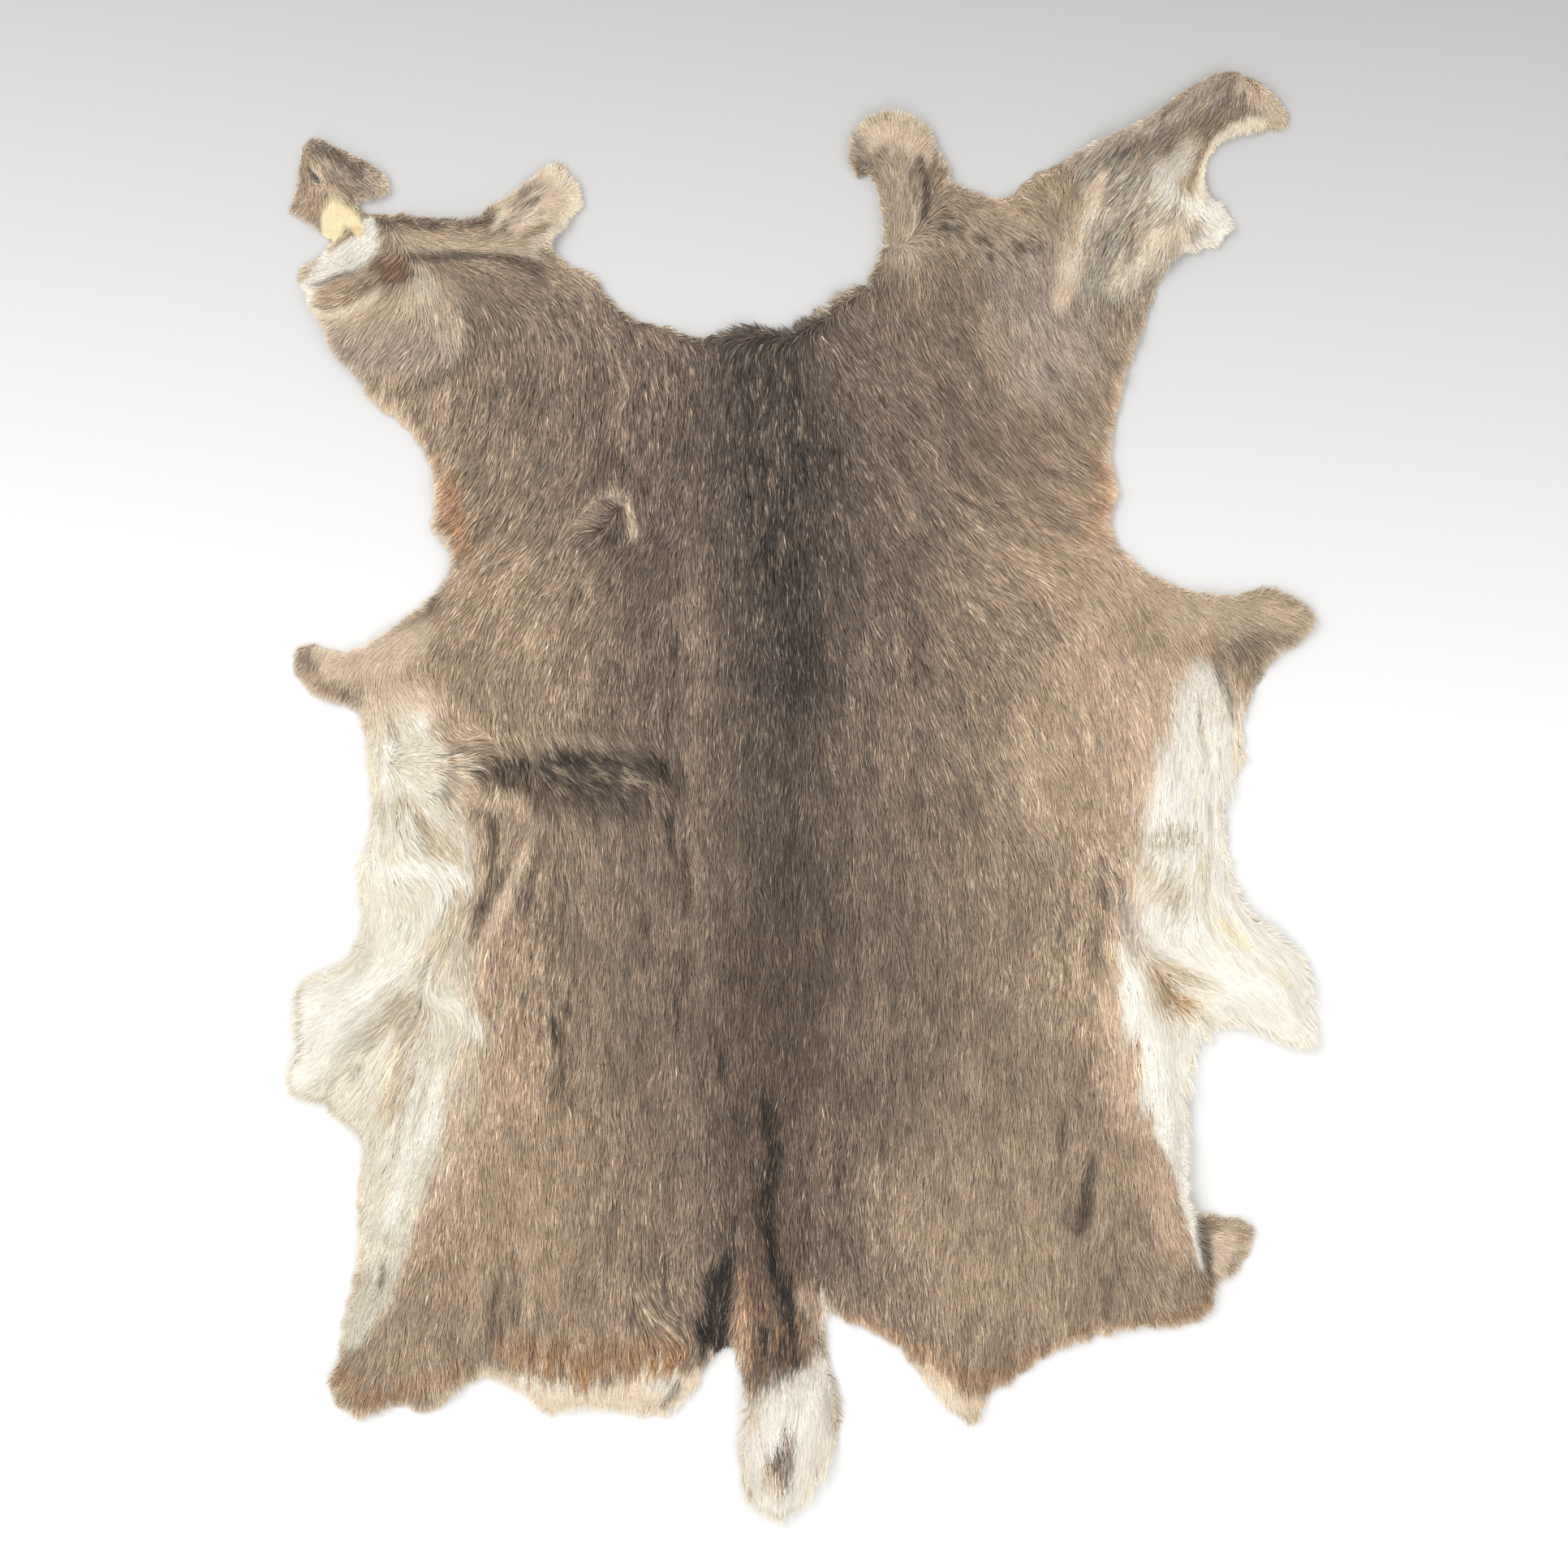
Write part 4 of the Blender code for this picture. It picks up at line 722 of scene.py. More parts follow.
# Tufts scattered over a patch, each a short stroke along the hair: rise in millimetres, width and
# length in pixels, turn away from the hair in degrees, places (x, y, half width) of the patch.
Tufts = namedtuple("Tufts", "part colour strength rise width length turn count places")
tufts = (
    # Painted shade in the pleat, broken up into dark tufts.
    Tufts("pleat, dark", "blackBrown", 0.85, -2.4, 6, 28, 24, 56, (
        (590, 948, 12), (660, 948, 18), (730, 952, 26), (812, 946, 16),
    )),
    Tufts("pleat, pale", "tan", 0.7, 1.4, 3, 28, 24, 44, (
        (580, 940, 16), (660, 946, 22), (730, 956, 32), (805, 950, 20),
    )),
    Tufts("pleat, lip", "sand", 0.5, 1.6, 4, 22, 16, 34, (
        (560, 920, 10), (650, 914, 8), (720, 915, 8), (806, 922, 7),
    )),
    Tufts("pleat, end", "cream", 0.6, 1.2, 3, 24, 24, 16, ((562, 925, 8), (572, 945, 8), (568, 970, 8))),
    # Painted shade under the pleat, broken up into tufts.
    Tufts("under the pleat", "umber", 0.5, -1.4, 5, 22, 14, 22, (
        (640, 985, 12), (720, 996, 18), (800, 1000, 16),
    )),
    Tufts("nape", "blackBrown", 0.7, -1.2, 5, 30, 14, 60, (
        (930, 425, 34), (945, 520, 48), (958, 640, 44), (965, 760, 36),
    )),
    Tufts("nape, pale", "dusk", 0.5, 1, 4, 26, 16, 40, ((900, 440, 46), (930, 540, 56), (945, 680, 50))),
    Tufts("left neck, pale", "tan", 0.5, 1.2, 4, 30, 14, 56, (
        (640, 400, 60), (740, 440, 60), (830, 480, 50), (780, 600, 60),
    )),
    Tufts("left neck, dark", "umber", 0.6, -1.2, 5, 30, 14, 60, (
        (620, 420, 60), (740, 440, 60), (830, 480, 50), (800, 620, 60),
    )),
    Tufts("right neck, dark", "umber", 0.5, -1.2, 5, 28, 12, 44, (
        (1040, 460, 40), (1110, 540, 60), (1140, 650, 60), (1090, 780, 50), (1080, 880, 40),
    )),
    Tufts("left side, dark", "umber", 0.5, -1, 4, 34, 6, 26, (
        (835, 700, 16), (832, 900, 14), (830, 1080, 16), (838, 1280, 20),
    )),
    Tufts("left flank, dark", "umber", 0.6, -1.4, 5, 40, 6, 26, (
        (700, 1080, 24), (690, 1180, 40), (690, 1280, 40), (760, 1380, 40),
    )),
    Tufts("left flank, pale", "tan", 0.55, 1.4, 6, 52, 6, 26, (
        (660, 1060, 30), (650, 1160, 40), (640, 1280, 36),
    )),
    Tufts("rump locks, dark", "umber", 0.55, -2, 5, 28, 14, 18, (
        (796, 1600, 18), (820, 1630, 20), (836, 1656, 14),
    )),
    Tufts("rump locks, pale", "tan", 0.55, 2, 4, 30, 14, 22, (
        (796, 1596, 18), (820, 1626, 20), (838, 1650, 14),
    )),
    Tufts("left haunch, dark", "umber", 0.4, -1.2, 4, 34, 6, 20, (
        (600, 1560, 16), (615, 1640, 20), (780, 1560, 30),
    )),
    Tufts("left rump, tips", "cream", 0.75, 0.6, 4, 26, 12, 34, (
        (640, 1692, 8), (700, 1702, 9), (760, 1702, 9), (840, 1684, 9),
    )),
    Tufts("left rump, russet tips", "tawny", 0.85, 0.8, 5, 32, 10, 44, (
        (620, 1680, 8), (700, 1700, 10), (780, 1696, 10), (840, 1676, 8),
    )),
    Tufts("right rump, tips", "apricot", 0.7, 0.6, 4, 24, 12, 26, (
        (1050, 1636, 6), (1120, 1670, 8), (1180, 1704, 8), (1240, 1700, 6),
    )),
    Tufts("tail, dark", "blackBrown", 0.65, -1, 5, 26, 14, 34, (
        (950, 1580, 20), (960, 1620, 24), (965, 1650, 28), (958, 1684, 28),
    )),
    Tufts("tail, light", "tawny", 0.6, 1, 4, 24, 14, 30, (
        (925, 1600, 20), (945, 1640, 36), (960, 1680, 34),
    )),
    Tufts("crusty patch, dark", "umber", 0.75, -1.6, 5, 16, 40, 40, (
        (1170, 262, 12), (1190, 300, 16), (1240, 305, 14), (1285, 295, 10),
    )),
    Tufts("crusty patch, pale", "sand", 0.8, 1.6, 4, 16, 40, 40, (
        (1172, 270, 14), (1196, 300, 18), (1240, 300, 16), (1285, 290, 10),
    )),
    Tufts("right ear, pale", "cream", 0.45, 1, 3, 20, 18, 30, (
        (1080, 165, 22), (1110, 165, 24), (1112, 230, 24), (1110, 300, 24),
    )),
    Tufts("right ear, dark", "darkBrown", 0.4, -1, 3, 20, 18, 26, (
        (1120, 190, 20), (1125, 240, 20), (1120, 310, 26),
    )),
    Tufts("right face, strands", "darkBrown", 0.45, -0.6, 4, 22, 10, 34, (
        (1350, 200, 12), (1420, 165, 18), (1500, 122, 18), (1550, 118, 16),
    )),
    Tufts("right throat, pale", "cream", 0.5, 1.2, 4, 30, 18, 44, (
        (1350, 240, 26), (1400, 240, 44), (1440, 250, 36), (1400, 310, 40),
    )),
    Tufts("right throat, dark", "taupe", 0.4, -1.2, 5, 28, 18, 30, (
        (1360, 225, 20), (1392, 262, 30), (1392, 310, 30),
    )),
    Tufts("left ear, pale", "cream", 0.5, 1, 3, 18, 20, 20, (
        (640, 265, 16), (670, 245, 24), (692, 245, 16),
    )),
    Tufts("left ear, dark", "darkBrown", 0.4, -0.8, 3, 18, 18, 16, ((636, 262, 16), (660, 245, 20))),
    Tufts("left jaw, dark", "umber", 0.45, -0.8, 4, 24, 10, 30, (
        (470, 274, 8), (530, 274, 8), (600, 274, 8),
    )),
    Tufts("left cheek", "sand", 0.5, 1, 4, 24, 12, 26, ((410, 395, 18), (480, 400, 30), (540, 410, 26))),
    Tufts("left face", "umber", 0.45, -0.6, 3, 18, 12, 22, (
        (392, 182, 10), (425, 200, 16), (456, 222, 12),
    )),
    Tufts("left belly, shade", "khaki", 0.35, -1.2, 8, 60, 8, 22, (
        (480, 990, 30), (510, 1060, 40), (520, 1140, 40), (470, 1250, 60), (500, 1340, 40),
    )),
    Tufts("left belly, light", "white", 0.6, 1, 6, 56, 8, 34, (
        (490, 960, 30), (500, 1060, 50), (490, 1160, 60), (450, 1280, 80), (500, 1400, 40),
    )),
    Tufts("right belly, shade", "khaki", 0.3, -1.2, 8, 56, 8, 18, (
        (1480, 900, 26), (1465, 1000, 30), (1450, 1090, 40), (1520, 1190, 50),
    )),
    Tufts("right belly, light", "white", 0.6, 1, 6, 56, 8, 26, (
        (1484, 880, 30), (1480, 990, 44), (1480, 1100, 60), (1540, 1210, 60),
    )),
)

# Skin without hair, or with thin hair: the share of the hair that is left, places (x, y, half width).
Bare = namedtuple("Bare", "part left places")
bareSpots = (
    Bare("rawhide", 0, (
        (412, 256, 13), (409, 272, 18), (406, 286, 14), (424, 262, 11), (436, 270, 9), (441, 285, 7),
    )),
    Bare("left rump", 0.3, (
        (603, 1696, 6), (640, 1714, 11), (680, 1730, 13), (720, 1729, 13), (760, 1730, 13), (800, 1728, 13),
        (828, 1718, 11), (846, 1706, 6),
    )),
    Bare("right rump", 0.25, (
        (1152, 1704, 6), (1170, 1724, 11), (1188, 1740, 13), (1205, 1740, 10), (1200, 1754, 6),
    )),
    Bare("left cheek", 0.5, ((470, 328, 12), (488, 335, 14))),
)

# How long the hair is, in millimetres, round each place. The reach is in pixels.
Length = namedtuple("Length", "part x y reach hair")
lengths = (
    Length("back", 966, 1040, 300, 13),
    Length("shoulders", 966, 700, 230, 14.5),
    Length("mane", 940, 430, 60, 20),
    Length("right neck", 1290, 470, 130, 13),
    Length("left neck", 600, 440, 130, 14),
    Length("right brow", 1240, 285, 70, 10),
    Length("right ear", 1105, 190, 60, 8),
    Length("right face", 1450, 150, 80, 8),
    Length("right throat", 1425, 260, 55, 18),
    Length("left face", 420, 210, 60, 7),
    Length("round the eye", 388, 214, 12, 13),
    Length("left jaw", 560, 285, 60, 9),
    Length("left ear", 660, 245, 45, 8),
    Length("left chin", 430, 325, 30, 13),
    Length("left cheek", 490, 400, 60, 13),
    Length("right foreleg", 1540, 760, 70, 11),
    Length("left foreleg", 420, 830, 60, 10),
    Length("left belly, upper", 500, 960, 50, 24),
    Length("left belly, middle", 510, 1080, 60, 32),
    Length("left belly, lower", 470, 1260, 90, 42),
    Length("left flank", 490, 1450, 50, 26),
    Length("right belly, upper", 1480, 930, 60, 32),
    Length("right belly, middle", 1460, 1080, 50, 34),
    Length("right belly, lower", 1510, 1210, 90, 42),
    Length("right wedge", 1430, 1320, 40, 26),
    Length("rump", 966, 1560, 150, 14),
    Length("tail, upper", 958, 1640, 40, 22),
    Length("tail, lower", 960, 1790, 60, 40),
    Length("shank", 1515, 1540, 30, 9),
    Length("pleat hollow", 720, 948, 30, 7),
    Length("right haunch", 1330, 1450, 140, 12),
    Length("left haunch", 600, 1500, 150, 13),
)


# Each lock of the coat is a narrow pointed ribbon that follows the lie of the hair.
coat = {
    "seed": 5,
    "spacing": 1.55 * mm,  # from lock to lock
    "rootInside": 0.5 * mm,  # from the cut edge
    "unevenLength": (0.75, 0.5),  # the least share of the length, and what chance adds
    "width": 0.7 * mm,
    "widthPerLength": 0.024,
    "unevenWidth": (0.7, 0.6),  # the same of the width
    "taper": ((0, 0.3, 0.65, 1), (0.75, 1, 0.8, 0)),  # places along a lock, and its width there
    "sleekHair": 13.9 * mm,  # up to about here a lock lies straight
    "sleekBlend": 0.5 * mm,
    "longHair": 24 * mm,  # from here on a lock is soft and has more bends
    "longShare": 0.45,  # of the locks that are kept in long hair
    "tailRow": 1500,  # of the photograph: long hair below it is the tail's
    "sleekBends": 1,  # in a lock of each kind
    "deepBends": 2,
    "softBends": 5,
    "wave": 12,  # degrees that a soft lock turns to and fro
    "wavePhase": 2.1,  # radians from bend to bend
    "rootDepth": (2.2 * mm, 0.9 * mm),  # below the coat's surface, in brown and in white hair
    "tipRise": (0.8 * mm, 0.4 * mm),  # above it
    "riseCurve": 0.8,  # below 1 a lock rises most near its root
    "unevenDepth": (0.7 * mm, 0.25 * mm),  # how far locks lie higher or lower at their tips
    "unevenRoot": 0.4,  # the share of that at their roots
    "droop": 0.35,  # how far a lock sinks past the cut edge, against how far it stands out
    "overFloor": 0.4 * mm,  # the lowest that a lock's middle line comes
    "overSkin": 2.0 * mm,  # and how much more above the skin's underside
    "edgeOverFloor": 0.2 * mm,  # the lowest that its edges come
    "stray": 6,  # degrees that a lock turns from its neighbours
    "clumpStray": 6,  # degrees that a tuft turns from the coat
    "roll": (14, 4),  # degrees that a lock tips to one side
    "pastEdge": 4.5 * mm,  # that a tip may reach, and more in long hair
    "pastEdgePerLength": 0.2,
    "trials": 4,  # at shortening a lock that reaches further
    "shorten": 0.72,
    "rimPaleness": 0.4,  # painted light: how far the thin hair at the cut edge is painted paler, towards cream
    "whiteRange": (0.25, 0.75),  # brightness at which hair starts to count as white, and does
    "colourAt": (0.25, 0.65),  # the part of a lock whose painted colour it takes
    "brightest": 0.93,
    "rootShade": (0.6, 0.95),  # in brown and in white hair, as are all pairs from here on
    "tipShade": (1.16, 1.08),
    "shadeCurve": 0.7,  # below 1 it turns pale near its root
    "unevenShade": (0.36, 0.04),  # from lock to lock
    "clumpShade": (0.05, 0.02),
    "warmth": (0.032, 0.017),  # how far the tint varies between warm and cool
    "meanWarmth": 0.008,  # above 0 for a warm tint
    "blueWarmth": 1.3,  # blue against red
    "paleLocks": 0.16,  # the share of brown locks with pale tips
    "paleTip": 0.3,  # how far they turn to tan
    "fineStreak": 0.09,  # how far the shade varies from streak to streak
    "broadStreak": 0.04,
    "streakShare": (1, 0.35),
    "parting": (0.45, 0.09),  # how much darker the hair is in a parting: its darker roots show there, with painted shade
}


def hexColour(text):
    # An sRGB hex colour as linear red, green and blue.
    parts = np.array([int(text[k:k + 2], 16) / 255 for k in (1, 3, 5)])
    return np.where(parts <= 0.04045, parts / 12.92, ((parts + 0.055) / 1.055) ** 2.4)


def onHide(x, y):
    # A place in the photograph, in metres on the hide.
    return (x - photo["originX"]) * photo["pixelOnHide"], (photo["originY"] - y) * photo["pixelOnHide"]


# The hide's height and edge are read from its solid on a fine net.
net = {
    "pitch": 2.5 * mm,
    "margin": 25 * mm,  # round the hide's box
    "smoothing": 1.5,  # in steps of the net, which takes the facets off
    "skinSmoothing": 1.0,
    "carrySmoothing": 8,  # past the cut edge
    "leastWeight": 0.02,  # of the hide's own points, below which heights are carried on
    "edgeStep": 1.5 * mm,
    "rimTilt": 0.1,  # a face that leans less than this is part of the solid's rim
}
lowX, lowY = cadBox[0].x - net["margin"], cadBox[0].y - net["margin"]
columns = int((cadBox[1].x - cadBox[0].x + 2 * net["margin"]) / net["pitch"]) + 2
rows = int((cadBox[1].y - cadBox[0].y + 2 * net["margin"]) / net["pitch"]) + 2
netX = lowX + net["pitch"] * np.arange(columns)
netY = lowY + net["pitch"] * np.arange(rows)
netPlaces = np.stack(np.meshgrid(netX, netY), axis=-1)


def onNet(field, places):
    # The field's value at each place, between the four nearest points of the net.
    column = np.clip((places[..., 0] - lowX) / net["pitch"], 0, columns - 1.001)
    row = np.clip((places[..., 1] - lowY) / net["pitch"], 0, rows - 1.001)
    i, j = row.astype(int), column.astype(int)
    v, u = row - i, column - j
    if field.ndim == 3:
        u, v = u[..., None], v[..., None]
    below = field[i, j] * (1 - u) + field[i, j + 1] * u
    above = field[i + 1, j] * (1 - u) + field[i + 1, j + 1] * u
    return below * (1 - v) + above * v


def blur(field, steps):
    reach = int(3 * steps) + 1
    bell = np.exp(-0.5 * (np.arange(-reach, reach + 1) / steps) ** 2)
    bell /= bell.sum()
    wide = np.pad(field, reach, mode="edge")
    wide = np.apply_along_axis(np.convolve, 0, wide, bell, mode="valid")
    return np.apply_along_axis(np.convolve, 1, wide, bell, mode="valid")


def mottle(size, seed):
    # Even random waves about this wide, with a spread of 1.
    field = blur(np.random.default_rng(seed).standard_normal((rows, columns)), size / net["pitch"] / 2)
    return (field - field.mean()) / field.std()


def surveyHide():
    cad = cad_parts["hide"].data
    tree = BVHTree.FromPolygons([v.co for v in cad.vertices], [tuple(p.vertices) for p in cad.polygons])
    top, bottom = np.zeros((rows, columns)), np.zeros((rows, columns))
    covered = np.zeros((rows, columns), bool)
    down, up = Vector((0, 0, -1)), Vector((0, 0, 1))
    for i, y in enumerate(netY):
        for j, x in enumerate(netX):
            hit = tree.ray_cast(Vector((x, y, 1)), down)[0]
            if hit:
                covered[i, j] = True
                top[i, j] = hit.z
                bottom[i, j] = tree.ray_cast(Vector((x, y, -1)), up)[0].z
    return top, bottom, covered


def solidCopy():
    # The solid with its corners joined.
    solid = bmesh.new()
    solid.from_mesh(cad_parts["hide"].data)
    bmesh.ops.remove_doubles(solid, verts=solid.verts[:], dist=0.001 * mm)
    return solid


def edgeDistance(covered):
    # How far each point of the net is from the cut edge, and below 0 outside it.
    solid = solidCopy()
    spots = []
    for edge in solid.edges:
        tilts = sorted(face.normal.z for face in edge.link_faces)
        if len(tilts) == 2 and abs(tilts[0]) < net["rimTilt"] < tilts[1]:
            start, end = edge.verts[0].co, edge.verts[1].co
            count = int((end - start).length / net["edgeStep"]) + 1
            spots += [start.lerp(end, k / count) for k in range(count)]
    solid.free()
    tree = kdtree.KDTree(len(spots))
    for k, spot in enumerate(spots):
        tree.insert((spot.x, spot.y, 0), k)
    tree.balance()
    away = np.array([tree.find((x, y, 0))[2] for y in netY for x in netX]).reshape(rows, columns)
    return np.where(covered, away, -away)


def spread(field, covered, steps):
    # Smooths the field over the hide alone and carries it on past the edge.
    weight = blur(covered.astype(float), steps)
    inner = blur(np.where(covered, field, 0), steps)
    wideWeight = blur(covered.astype(float), net["carrySmoothing"]) + 1e-9
    wide = blur(np.where(covered, field, 0), net["carrySmoothing"]) / wideWeight
    least = net["leastWeight"]
    return np.where(weight > least, inner / np.maximum(weight, least), wide)


def strokeDistance(places, window):
    # The distance to a stroke as a share of its half width there, in a window of the net.
    spots = [(*onHide(x, y), half * photo["pixelOnHide"]) for x, y, half in places]
    here = netPlaces[window]
    nearest = np.full(here.shape[:2], 99.0)
    for start, end in zip(spots, spots[1:] or spots):
        side = np.array(end[:2]) - start[:2]
        share = np.clip(((here - start[:2]) @ side) / max(side @ side, 1e-12), 0, 1)
        gap = np.linalg.norm(here - start[:2] - share[..., None] * side, axis=-1)
        nearest = np.minimum(nearest, gap / (start[2] + share * (end[2] - start[2])))
    return nearest


def windowOf(places, times):
    # The part of the net round a stroke, out to so many half widths.
    spots = np.array([(*onHide(x, y), times * half * photo["pixelOnHide"]) for x, y, half in places])
    left, right = (spots[:, 0] - spots[:, 2]).min(), (spots[:, 0] + spots[:, 2]).max()
    low, high = (spots[:, 1] - spots[:, 2]).min(), (spots[:, 1] + spots[:, 2]).max()
    inColumns = slice(max(int((left - lowX) / net["pitch"]), 0), int((right - lowX) / net["pitch"]) + 2)
    inRows = slice(max(int((low - lowY) / net["pitch"]), 0), int((high - lowY) / net["pitch"]) + 2)
    return inRows, inColumns


def smoothStep(low, high, value):
    share = np.clip((value - low) / (high - low), 0, 1)
    return share * share * (3 - 2 * share)


relief = {
    "clumpHeight": 1.0 * mm,  # of the tufts in the coat
    "clumpSize": 16 * mm,
    "clumpSeed": 11,
    "fineHeight": 0.5 * mm,
    "fineSize": 7 * mm,
    "fineSeed": 12,
}

# How the strokes of a scattered tuft vary, as shares of what its row says.
scatter = {
    "seed": 61,
    "reach": (0.3, 0.7),  # of its length, to either side of its middle
    "width": (0.35, 0.65),
    "rootWidth": 0.6,  # against its middle
    "tipWidth": 0.4,
    "strength": (0.5, 1),
    "soft": 1.2,
}


def scatterTufts():
    # The colour marks and the relief of the scattered tufts.
    rng = np.random.default_rng(scatter["seed"])
    colours, heights = [], []
    for tuft in tufts:
        patch = np.array(tuft.places, float)
        for k in range(tuft.count):
            at = rng.random() * (len(patch) - 1)
            x, y, half = (np.interp(at, range(len(patch)), patch[:, n]) for n in range(3))
            x, y = x + half * rng.uniform(-1, 1), y + half * rng.uniform(-1, 1)
            way = onNet(wayOnNet, np.array(onHide(x, y)))
            turn = math.atan2(way[1], way[0]) + math.radians(tuft.turn) * rng.standard_normal()
            reach = tuft.length * rng.uniform(*scatter["reach"])
            across, down = reach * math.cos(turn), -reach * math.sin(turn)
            width = tuft.width * rng.uniform(*scatter["width"])
            stroke = (
                (x - across, y - down, scatter["rootWidth"] * width),
                (x, y, width),
                (x + across, y + down, scatter["tipWidth"] * width),
            )
            strength = tuft.strength * rng.uniform(*scatter["strength"])
            colours.append(Mark(tuft.part, tuft.colour, strength, scatter["soft"], stroke))
            heights.append(Crease(tuft.part, tuft.rise, stroke))
    return colours, heights


def coatSurface(top, covered):
    # The height that the hair lies at: the solid's top with the creases and tufts.
    surface = spread(top, covered, net["smoothing"])
    for crease in [*creases, *tuftCreases]:
        window = windowOf(crease.places, times=3)
        surface[window] += crease.rise * mm * np.exp(-strokeDistance(crease.places, window) ** 2)
    surface += relief["clumpHeight"] * mottle(relief["clumpSize"], relief["clumpSeed"])
    surface += relief["fineHeight"] * mottle(relief["fineSize"], relief["fineSeed"])
    return surface


streakSizes = {
    "fine": (5 * mm, 40 * mm, 41),  # width, length and seed
    "broad": (15 * mm, 90 * mm, 42),
    "parting": (5 * mm, 26 * mm, 43),
    "partingRange": (1.8, 2.6),  # where a parting sets in and where it is full
    "step": 3 * mm,
}


def streaks(width, length, seed):
    # Random streaks that follow the lie of the hair, with a spread of 1.
    waves = mottle(width, seed)
    total, step = waves.copy(), streakSizes["step"]
    for sense in (1, -1):
        places = netPlaces.copy()
        for k in range(int(length / 2 / step)):
            places += sense * step * onNet(wayOnNet, places)
            total += onNet(waves, places)
    return total / total.std()


brush = {
    "wander": 1.6 * mm,  # how far a stroke's border strays in broad waves
    "wanderSize": 20 * mm,
    "wanderSeed": 22,
    "alongHair": 2.6 * mm,  # how far it strays from streak to streak
    "leastHalf": 12 * mm,  # a narrower stroke strays less
    "window": 1.4,  # half widths that a hard stroke can reach
    "thinRim": (-3 * mm, 4 * mm),  # from the cut edge: the hair there is thin and painted paler, as light comes through it
    "darkHair": (0.03, 0.15),  # hair as dark as the first isn't paler there
}


def paintedColour():
    # The colour of the hair's tips on the net, in linear red, green and blue, with the marks'
    # painted shade and light. The strokes' borders are drawn out along the hair, and the thin hair at
    # the cut edge is painted paler, painted light that comes through it.
    colour = np.tile(hexColour(palette["coat"]), (rows, columns, 1))
    wander = brush["wander"] * mottle(brush["wanderSize"], brush["wanderSeed"])
    wander = wander + brush["alongHair"] * fineStreaks
    for mark in [*marks, *tuftMarks]:
        window = windowOf(mark.places, brush["window"] + mark.soft / 2)
        half = np.mean([place[2] for place in mark.places]) * photo["pixelOnHide"]
        distance = strokeDistance(mark.places, window) + wander[window] / max(half, brush["leastHalf"])
        share = mark.strength * (1 - smoothStep(1 - mark.soft / 2, 1 + mark.soft / 2, distance))
        colour[window] += share[..., None] * (hexColour(palette[mark.colour]) - colour[window])
    thin = coat["rimPaleness"] * (1 - smoothStep(*brush["thinRim"], edgeGap))
    thin *= smoothStep(*brush["darkHair"], colour.mean(axis=-1))
    return colour + thin[..., None] * (hexColour(palette["cream"]) - colour)


bareEdge = (0.8, 1.15)  # half widths from a bare spot's middle line, where the hair sets in


def hairShare():
    # 1 where the coat is full, and less on bare skin.
    share = np.ones((rows, columns))
    for spot in bareSpots:
        window = windowOf(spot.places, times=1.5)
        inside = 1 - smoothStep(*bareEdge, strokeDistance(spot.places, window))
        share[window] = np.minimum(share[window], 1 - inside * (1 - spot.left))
    return share


def hairLength():
    total, weights = np.zeros((rows, columns)), np.full((rows, columns), 1e-9)
    for place in lengths:
        middle = np.array(onHide(place.x, place.y))
        away = np.linalg.norm(netPlaces - middle, axis=-1) / (place.reach * photo["pixelOnHide"])
        weight = np.exp(-(away**2)) / place.reach
        total += weight * place.hair * mm
        weights += weight
    return total / weights


# Between the places of the table the lie is carried on: share, and how far in steps of the net.
lieSpread = ((0.03, 10), (0.003, 30))


def hairWay():
    # The way the hair lies, as a flat vector of length 1.
    total = np.zeros((rows, columns, 2))
    for lie in lies:
        for x, y, way, reach in lie.places:
            window = windowOf(((x, y, reach),), times=4)
            middle, turn = np.array(onHide(x, y)), math.radians(way)
            away = np.linalg.norm(netPlaces[window] - middle, axis=-1) / (reach * photo["pixelOnHide"])
            total[window] += np.exp(-0.5 * away**2)[..., None] * (math.cos(turn), math.sin(turn))
    for share, steps in lieSpread:
        total += share * np.stack([blur(total[..., k], steps) for k in range(2)], axis=-1)
    return total / np.maximum(np.linalg.norm(total, axis=-1), 1e-12)[..., None]


print("surveying the solid")
solidTop, solidBottom, covered = surveyHide()
edgeGap = edgeDistance(covered)
skinHeight = spread(solidBottom, covered, net["skinSmoothing"])
print("painting the coat and combing it")
wayOnNet = hairWay()
tuftMarks, tuftCreases = scatterTufts()
coatHeight = coatSurface(solidTop, covered)
lengthOnNet = hairLength()
hairLeft = hairShare()
fineStreaks = streaks(*streakSizes["fine"])
broadStreaks = streaks(*streakSizes["broad"])
partings = smoothStep(*streakSizes["partingRange"], streaks(*streakSizes["parting"]))
tipColour = paintedColour()


def addNode(tree, kind, settings=None, links=None):
    # Adds a node, sets its values, and links its sockets: {socket: (node, output)}.
    node = tree.nodes.new(kind)
    for key, value in (settings or {}).items():
        if isinstance(key, str) and hasattr(node, key):
            setattr(node, key, value)
        else:
            node.inputs[key].default_value = value
    for socket, (source, output) in (links or {}).items():
        tree.links.new(source.outputs[output], node.inputs[socket])
    return node


def newMaterial(name):
    material = bpy.data.materials.new(name)
    material.use_nodes = True
    return material, material.node_tree, material.node_tree.nodes["Principled BSDF"]


noiseRange = {"From Min": 0.3, "From Max": 0.7}  # what noise mostly keeps to


